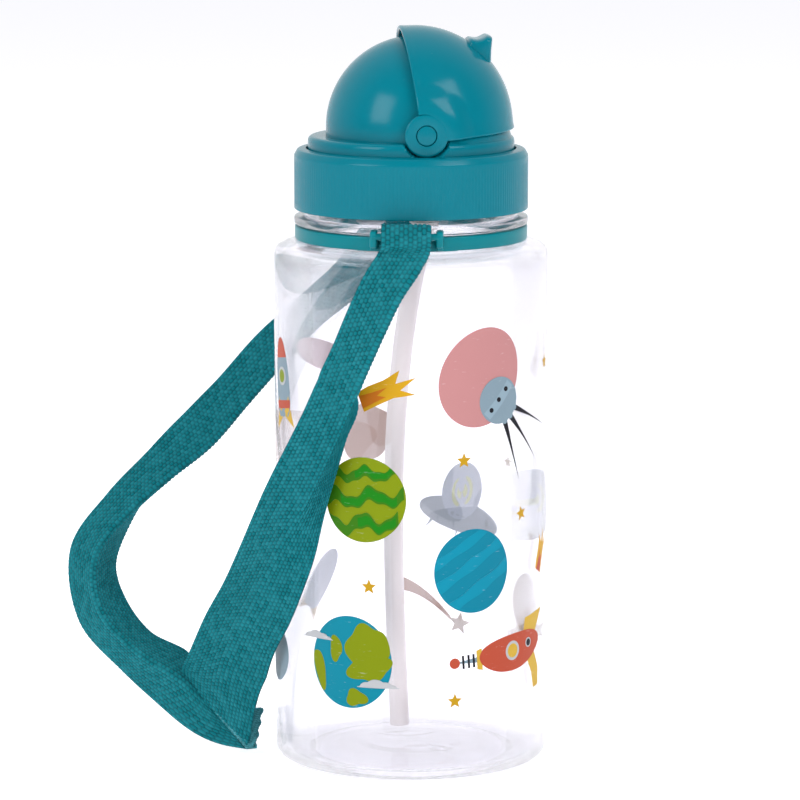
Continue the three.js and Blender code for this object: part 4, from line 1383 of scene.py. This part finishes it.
def spout_foot():
    """The grommet in the deck, with a soft bellows neck round the spout's heel."""
    outline = closed_outline(
        [
            (2.2, 150.0), (3.9, 150.0), (3.9, 154, 0.5), (3.7, 155, 0.4), (3.9, 156, 0.4), (3.9, 158.5, 0.2),
            (6.3, 158.5, 0.3), (6.3, 159.2, 0.4), (5.2, 159.7, 0.3), (2.2, 159.7, 0.3),
        ],
        0.25, 5, 1.2,
    )  # fmt: skip
    return turned(outline, 72, (SPOUT_X, 0))


def straw_sleeve():
    """The sleeve that holds the straw, with four grip rings."""
    corners = [(2.8, 136.8), (3.4, 136.8, 0.2)]
    for z in np.arange(137.4, 140.8, 0.9):
        corners += [(3.4, z, 0.1), (3.75, z + 0.2, 0.1), (3.75, z + 0.45, 0.1), (3.4, z + 0.65, 0.1)]
    corners += [(3.4, 141.6), (3.9, 142.5), (3.9, 149.6, 0.4)]
    corners += [(2.2, 149.6, 0.3), (2.2, 146.6), (2.8, 146.6)]
    return turned(closed_outline(corners, 0.2, 4, 1.5), 72, (SPOUT_X, 0))


def straw_tube():
    """The straw: a ring-shaped section carried along its bow, closed at both rims."""
    bow = [
        (SPOUT_X, 146.2), (SPOUT_X, 136.8), (0.9, 125.6), (-1.1, 114), (-3.0, 98), (-4.3, 78),
        (-4.5, 58), (-4.0, 34), (-2.9, 8),
    ]  # fmt: skip
    path = through([(x, 0, z) for x, z in bow], count=180)
    angle = np.linspace(0, 2 * np.pi, 48, endpoint=False)
    ring = np.stack([np.cos(angle), np.sin(angle)], 1)
    outside, inside = (swept(ring * r, path, (0, 1.0, 0)) for r in (2.5, 1.9))
    turns = (0.9, 1.57, 2.2)
    lips = [swept(ring * (2.2 + 0.3 * math.cos(a)), path, (0, 1.0, 0)) for a in turns]
    top = np.stack([lip[0] + [0, 0, 0.3 * math.sin(a)] for lip, a in zip(lips, turns)])
    foot = np.stack([lip[-1] - [0, 0, 0.3 * math.sin(a)] for lip, a in zip(lips, turns)])
    grid = np.concatenate([outside, foot, inside[::-1], top[::-1]])
    return Shell(grid, wrap_rows=True, wrap_columns=True)


def vent_valve():
    """The vent's mushroom valve: a thin-lipped head and a barbed stem."""
    outline = rounded(
        [
            (0, 138.8), (2.0, 138.8, 0.6), (3.6, 139.9, 0.3), (3.6, 141.2, 0.3), (1.0, 141.2, 0.3),
            (1.0, 144.2, 0.2), (1.15, 144.6, 0.1), (1.0, 145.2, 0.2), (0.5, 146, 0.2), (0, 146),
        ],
        0.3, 5, 0.6,
    )  # fmt: skip
    return turned(outline, 48, VENT_PLACE, closed=False)


class BOTTLE_OT_drinking_parts(bpy.types.Operator):
    """Build the spout, its grommet, the sleeve, the straw and the vent valve"""

    bl_idname = "bottle.drinking_parts"
    bl_label = "Spout, straw and valve"

    def execute(self, context):
        silicone = soft_clear("clear_silicone", (0.86, 0.85, 0.83))
        grey = soft_clear("grey_silicone", (0.5, 0.53, 0.56), 0.1, 0.5)
        straw = soft_clear("straw_plastic", tuple(context.scene.bottle_colours.straw), 0.0, 0.25)
        make_piece("soft_spout", spout_shell(), silicone, "spout", ("spout_tube",))
        make_piece("spout_grommet", spout_foot(), silicone, "lid", ("spout_base",))
        make_piece("straw_sleeve", straw_sleeve(), silicone, "lid", ("straw_adapter",))
        make_piece("drinking_straw", straw_tube(), straw, "lid", ("straw",))
        make_piece("mushroom_valve", vent_valve(), grey, "lid", ("vent_valve",))
        return {"FINISHED"}


# ---- The strap ring ----


def lug(turn):
    """A lug at one side: a curved plate, two posts and the bar between them."""
    reach = math.asin(12.5 / 30.2)
    angle = -np.pi / 2 + np.linspace(-reach, reach, 40)
    corners = [(28.6, RING_BOTTOM), (30.2, RING_BOTTOM), (30.2, RING_TOP), (28.6, RING_TOP)]
    section = closed_outline(corners, 0.4, 6, 1)
    r, z = section[:, 0], section[:, 1]
    grid = np.stack([r * np.cos(angle)[:, None], r * np.sin(angle)[:, None], z + 0 * angle[:, None]], -1)
    middle = grid.mean(axis=1, keepdims=True) + 0 * grid
    grid = np.concatenate([middle[:1], grid, middle[-1:]])
    shells = [Shell(grid, wrap_columns=True)]
    for x in (-8.2, 8.2):
        shells.append(rounded_block((x - 0.9, -35.0, 136.2), (x + 0.9, -29.4, 140.2), 0.45))
        shells.append(rounded_block((x - 0.9, -31.5, 135.2), (x + 0.9, -27.9, 138.1), 0.4))
    bar = rounded([(0, -8.8), (0.9, -8.8), (0.9, 8.8), (0, 8.8)], 0.2, 4, 1)
    shells.append(turned_about(bar, (0, -BAR_REACH, BAR_Z), (1, 0, 0), 32, closed=False))
    return [turned_round(shell, turn) for shell in shells]


class BOTTLE_OT_strap_ring(bpy.types.Operator):
    """Build the ring that turns on the neck and its two lugs"""

    bl_idname = "bottle.strap_ring"
    bl_label = "Strap ring"

    def execute(self, context):
        teal = glossy_teal("teal_strap_ring", tuple(context.scene.bottle_colours.ring), 0.25)
        corners = [(27.0, RING_BOTTOM), (29.6, RING_BOTTOM), (29.6, RING_TOP), (27.0, RING_TOP)]
        ring = turned(closed_outline(corners, 0.5, 6, 1), 220)
        shells = [ring, *lug(LUG_TURN), *lug(LUG_TURN + math.pi)]
        make_piece("neck_strap_ring", shells, teal, "strap_ring", ("strap_ring",), 50)
        return {"FINISHED"}


# ---- Stage ----


def plain_surface(name, colour, roughness, glow):
    """A plain matte surface with a very faint grain, lit a little from within."""
    paint = Paint(name)
    grain = paint.noise(6, 2)
    base = paint.mix(grain * 0.1, colour, tuple(c * 0.99 for c in colour))
    return paint.surface(
        Base_Color=base, Roughness=roughness, Specular_IOR_Level=0.0,
        Emission_Color=(1, 1, 1, 1), Emission_Strength=glow,
    )  # fmt: skip


CAMERA_AWAY, CAMERA_HEIGHT, LENS = 1.1255, 0.2721, 200.1  # metres, metres, millimetres
CAMERA_PITCH, CAMERA_YAW = math.radians(9.0564), math.radians(0.1418)


class BOTTLE_OT_stage(bpy.types.Operator):
    """Set up the camera, the pale floor, the studio lamps and the sky"""

    bl_idname = "bottle.stage"
    bl_label = "Stage"

    def execute(self, context):
        scene = context.scene
        turn = scene.bottle_sizes.camera_turn
        forward = Vector((-math.sin(turn), math.cos(turn), 0))
        camera = bpy.data.objects.new("camera", bpy.data.cameras.new("camera"))
        scene.collection.objects.link(camera)
        camera.location = -forward * CAMERA_AWAY + Vector((0, 0, CAMERA_HEIGHT))
        camera.data.lens = LENS
        camera.data.sensor_width = 36
        side = Vector((forward.y, -forward.x, 0))
        down = Vector((0, 0, math.sin(CAMERA_PITCH)))
        aim = forward * math.cos(CAMERA_PITCH) - down - side * math.tan(CAMERA_YAW)
        camera.rotation_mode = "QUATERNION"
        camera.rotation_quaternion = aim.to_track_quat("-Z", "Y")
        camera.data.clip_start, camera.data.clip_end = 0.02, 30
        scene.camera = camera
        self.add_floor(scene)
        self.add_lamps(scene)
        self.add_sky(scene)
        scene.view_settings.view_transform = "Standard"
        scene.view_settings.look = "None"
        return {"FINISHED"}

    def add_floor(self, scene):
        """A wide flat round floor."""
        radius = np.linspace(0, 1, 40)[:, None] ** 2 * 6.0
        angle = np.linspace(0, 2 * np.pi, 96, endpoint=False)
        x, y = radius * np.cos(angle), radius * np.sin(angle)
        top = np.stack([x, y, -0.0002 + 0 * x], -1)
        under = np.stack([x, y, -0.02 + 0 * x], -1)[::-1]
        shell = Shell(np.concatenate([top, under]) / MM, wrap_columns=True)
        pale = plain_surface("pale_floor", (0.93, 0.93, 0.94), 0.7, 0.45)
        make_piece("floor", shell, pale, None)

    def add_lamps(self, scene):
        """A soft box at each side that shows in the gloss, and broad fills that do not."""
        lamps = (
            ("key_left", (-0.85, -0.62, 0.63), (0.5, 0.65), 6.5, True),
            ("key_right", (0.62, -0.70, 0.81), (0.55, 0.6), 6.5, True),
            ("front_fill", (0.0, -1.5, 0.5), (1.6, 1.2), 5.0, False),
            ("top_fill", (0.0, 0.0, 1.6), (1.6, 1.6), 8.0, False),
        )
        for name, place, (width, height), power, shows in lamps:
            lamp = bpy.data.lights.new(name, "AREA")
            lamp.shape, lamp.size, lamp.size_y, lamp.energy = "RECTANGLE", width, height, power
            holder = bpy.data.objects.new(name, lamp)
            scene.collection.objects.link(holder)
            holder.location = place
            aim = Vector((0, 0, 0.1)) - Vector(place)
            holder.rotation_euler = aim.to_track_quat("-Z", "Y").to_euler()
            holder.visible_glossy, holder.visible_transmission = shows, False

    def add_sky(self, scene):
        """A studio round the bottle: dim in front of it, lilac at the sides, white behind."""
        world = bpy.data.worlds.new("studio")
        scene.world = world
        world.use_nodes = True
        tree = world.node_tree
        back = tree.nodes["Background"]
        where = tree.nodes.new("ShaderNodeTexCoord")
        split = tree.nodes.new("ShaderNodeSeparateXYZ")
        scale = tree.nodes.new("ShaderNodeMath")
        scale.operation = "MULTIPLY_ADD"
        for k in (1, 2):
            scale.inputs[k].default_value = 0.5
        ramp = tree.nodes.new("ShaderNodeValToRGB")
        tree.links.new(where.outputs["Generated"], split.inputs[0])
        tree.links.new(split.outputs["Y"], scale.inputs[0])
        tree.links.new(scale.outputs[0], ramp.inputs[0])
        tree.links.new(ramp.outputs[0], back.inputs[0])
        stops = ramp.color_ramp.elements
        while len(stops) < 4:
            stops.new(0.5)
        tones = (
            (0.0, (0.1, 0.1, 0.11)), (0.42, (0.22, 0.22, 0.27)),
            (0.62, (0.75, 0.75, 0.82)), (0.8, (1, 1, 1)),
        )  # fmt: skip
        for stop, (place, colour) in zip(stops, tones):
            stop.position, stop.color = place, (*colour, 1)
        back.inputs[1].default_value = 1.0


# ---- Settings, panel and registration ----


class BottleSizes(bpy.types.PropertyGroup):
    """Sizes that change how fine the bottle is and where it is seen from"""

    sides: IntProperty(name="Body sides", description="Faces round the clear body", default=224, min=32)
    ribs: IntProperty(name="Grip ribs", description="Fine ribs round the screw ring", default=200, min=12)
    camera_turn: FloatProperty(
        name="Camera turn", description="How far the camera is turned round the bottle",
        default=math.radians(-5.5), subtype="ANGLE", unit="ROTATION",
    )  # fmt: skip


def colour_setting(name, description, default):
    """A colour that the panel shows."""
    return FloatVectorProperty(
        name=name, description=description, subtype="COLOR", size=3, default=default
    )


class BottleColours(bpy.types.PropertyGroup):
    """Colours of the plastic and the webbing"""

    lid: colour_setting("Lid", "Glossy lid plastic", (0.0, 0.155, 0.205))
    ring: colour_setting("Strap ring", "Neck ring plastic", (0.0, 0.18, 0.21))
    webbing: colour_setting("Webbing", "Strap cloth", (0.0, 0.155, 0.185))
    straw: colour_setting("Straw", "Straw plastic", (0.95, 0.89, 0.88))


BUILD_STEPS = (
    BOTTLE_OT_stage,
    BOTTLE_OT_strap,
    BOTTLE_OT_body,
    BOTTLE_OT_pictures,
    BOTTLE_OT_screw_ring,
    BOTTLE_OT_lid,
    BOTTLE_OT_cover,
    BOTTLE_OT_drinking_parts,
    BOTTLE_OT_strap_ring,
)


class BOTTLE_PT_panel(bpy.types.Panel):
    """The bottle's building steps and settings"""

    bl_idname = "BOTTLE_PT_panel"
    bl_label = "Kids Water Bottle"
    bl_space_type = "VIEW_3D"
    bl_region_type = "UI"
    bl_category = "Bottle"

    def draw(self, context):
        column = self.layout.column()
        for settings in (context.scene.bottle_sizes, context.scene.bottle_colours):
            for name in settings.__annotations__:
                column.prop(settings, name)
        for step in BUILD_STEPS:
            column.operator(step.bl_idname)


CLASSES = (BottleSizes, BottleColours, *BUILD_STEPS, BOTTLE_PT_panel)


def register():
    """Adds the classes and the scene's settings."""
    for cls in CLASSES:
        bpy.utils.register_class(cls)
    bpy.types.Scene.bottle_sizes = PointerProperty(type=BottleSizes)
    bpy.types.Scene.bottle_colours = PointerProperty(type=BottleColours)


def unregister():
    """Removes what register added."""
    del bpy.types.Scene.bottle_colours
    del bpy.types.Scene.bottle_sizes
    for cls in reversed(CLASSES):
        bpy.utils.unregister_class(cls)


def main():
    register()
    for step in BUILD_STEPS:
        group, name = step.bl_idname.split(".")
        getattr(getattr(bpy.ops, group), name)()


if __name__ == "__main__":
    main()
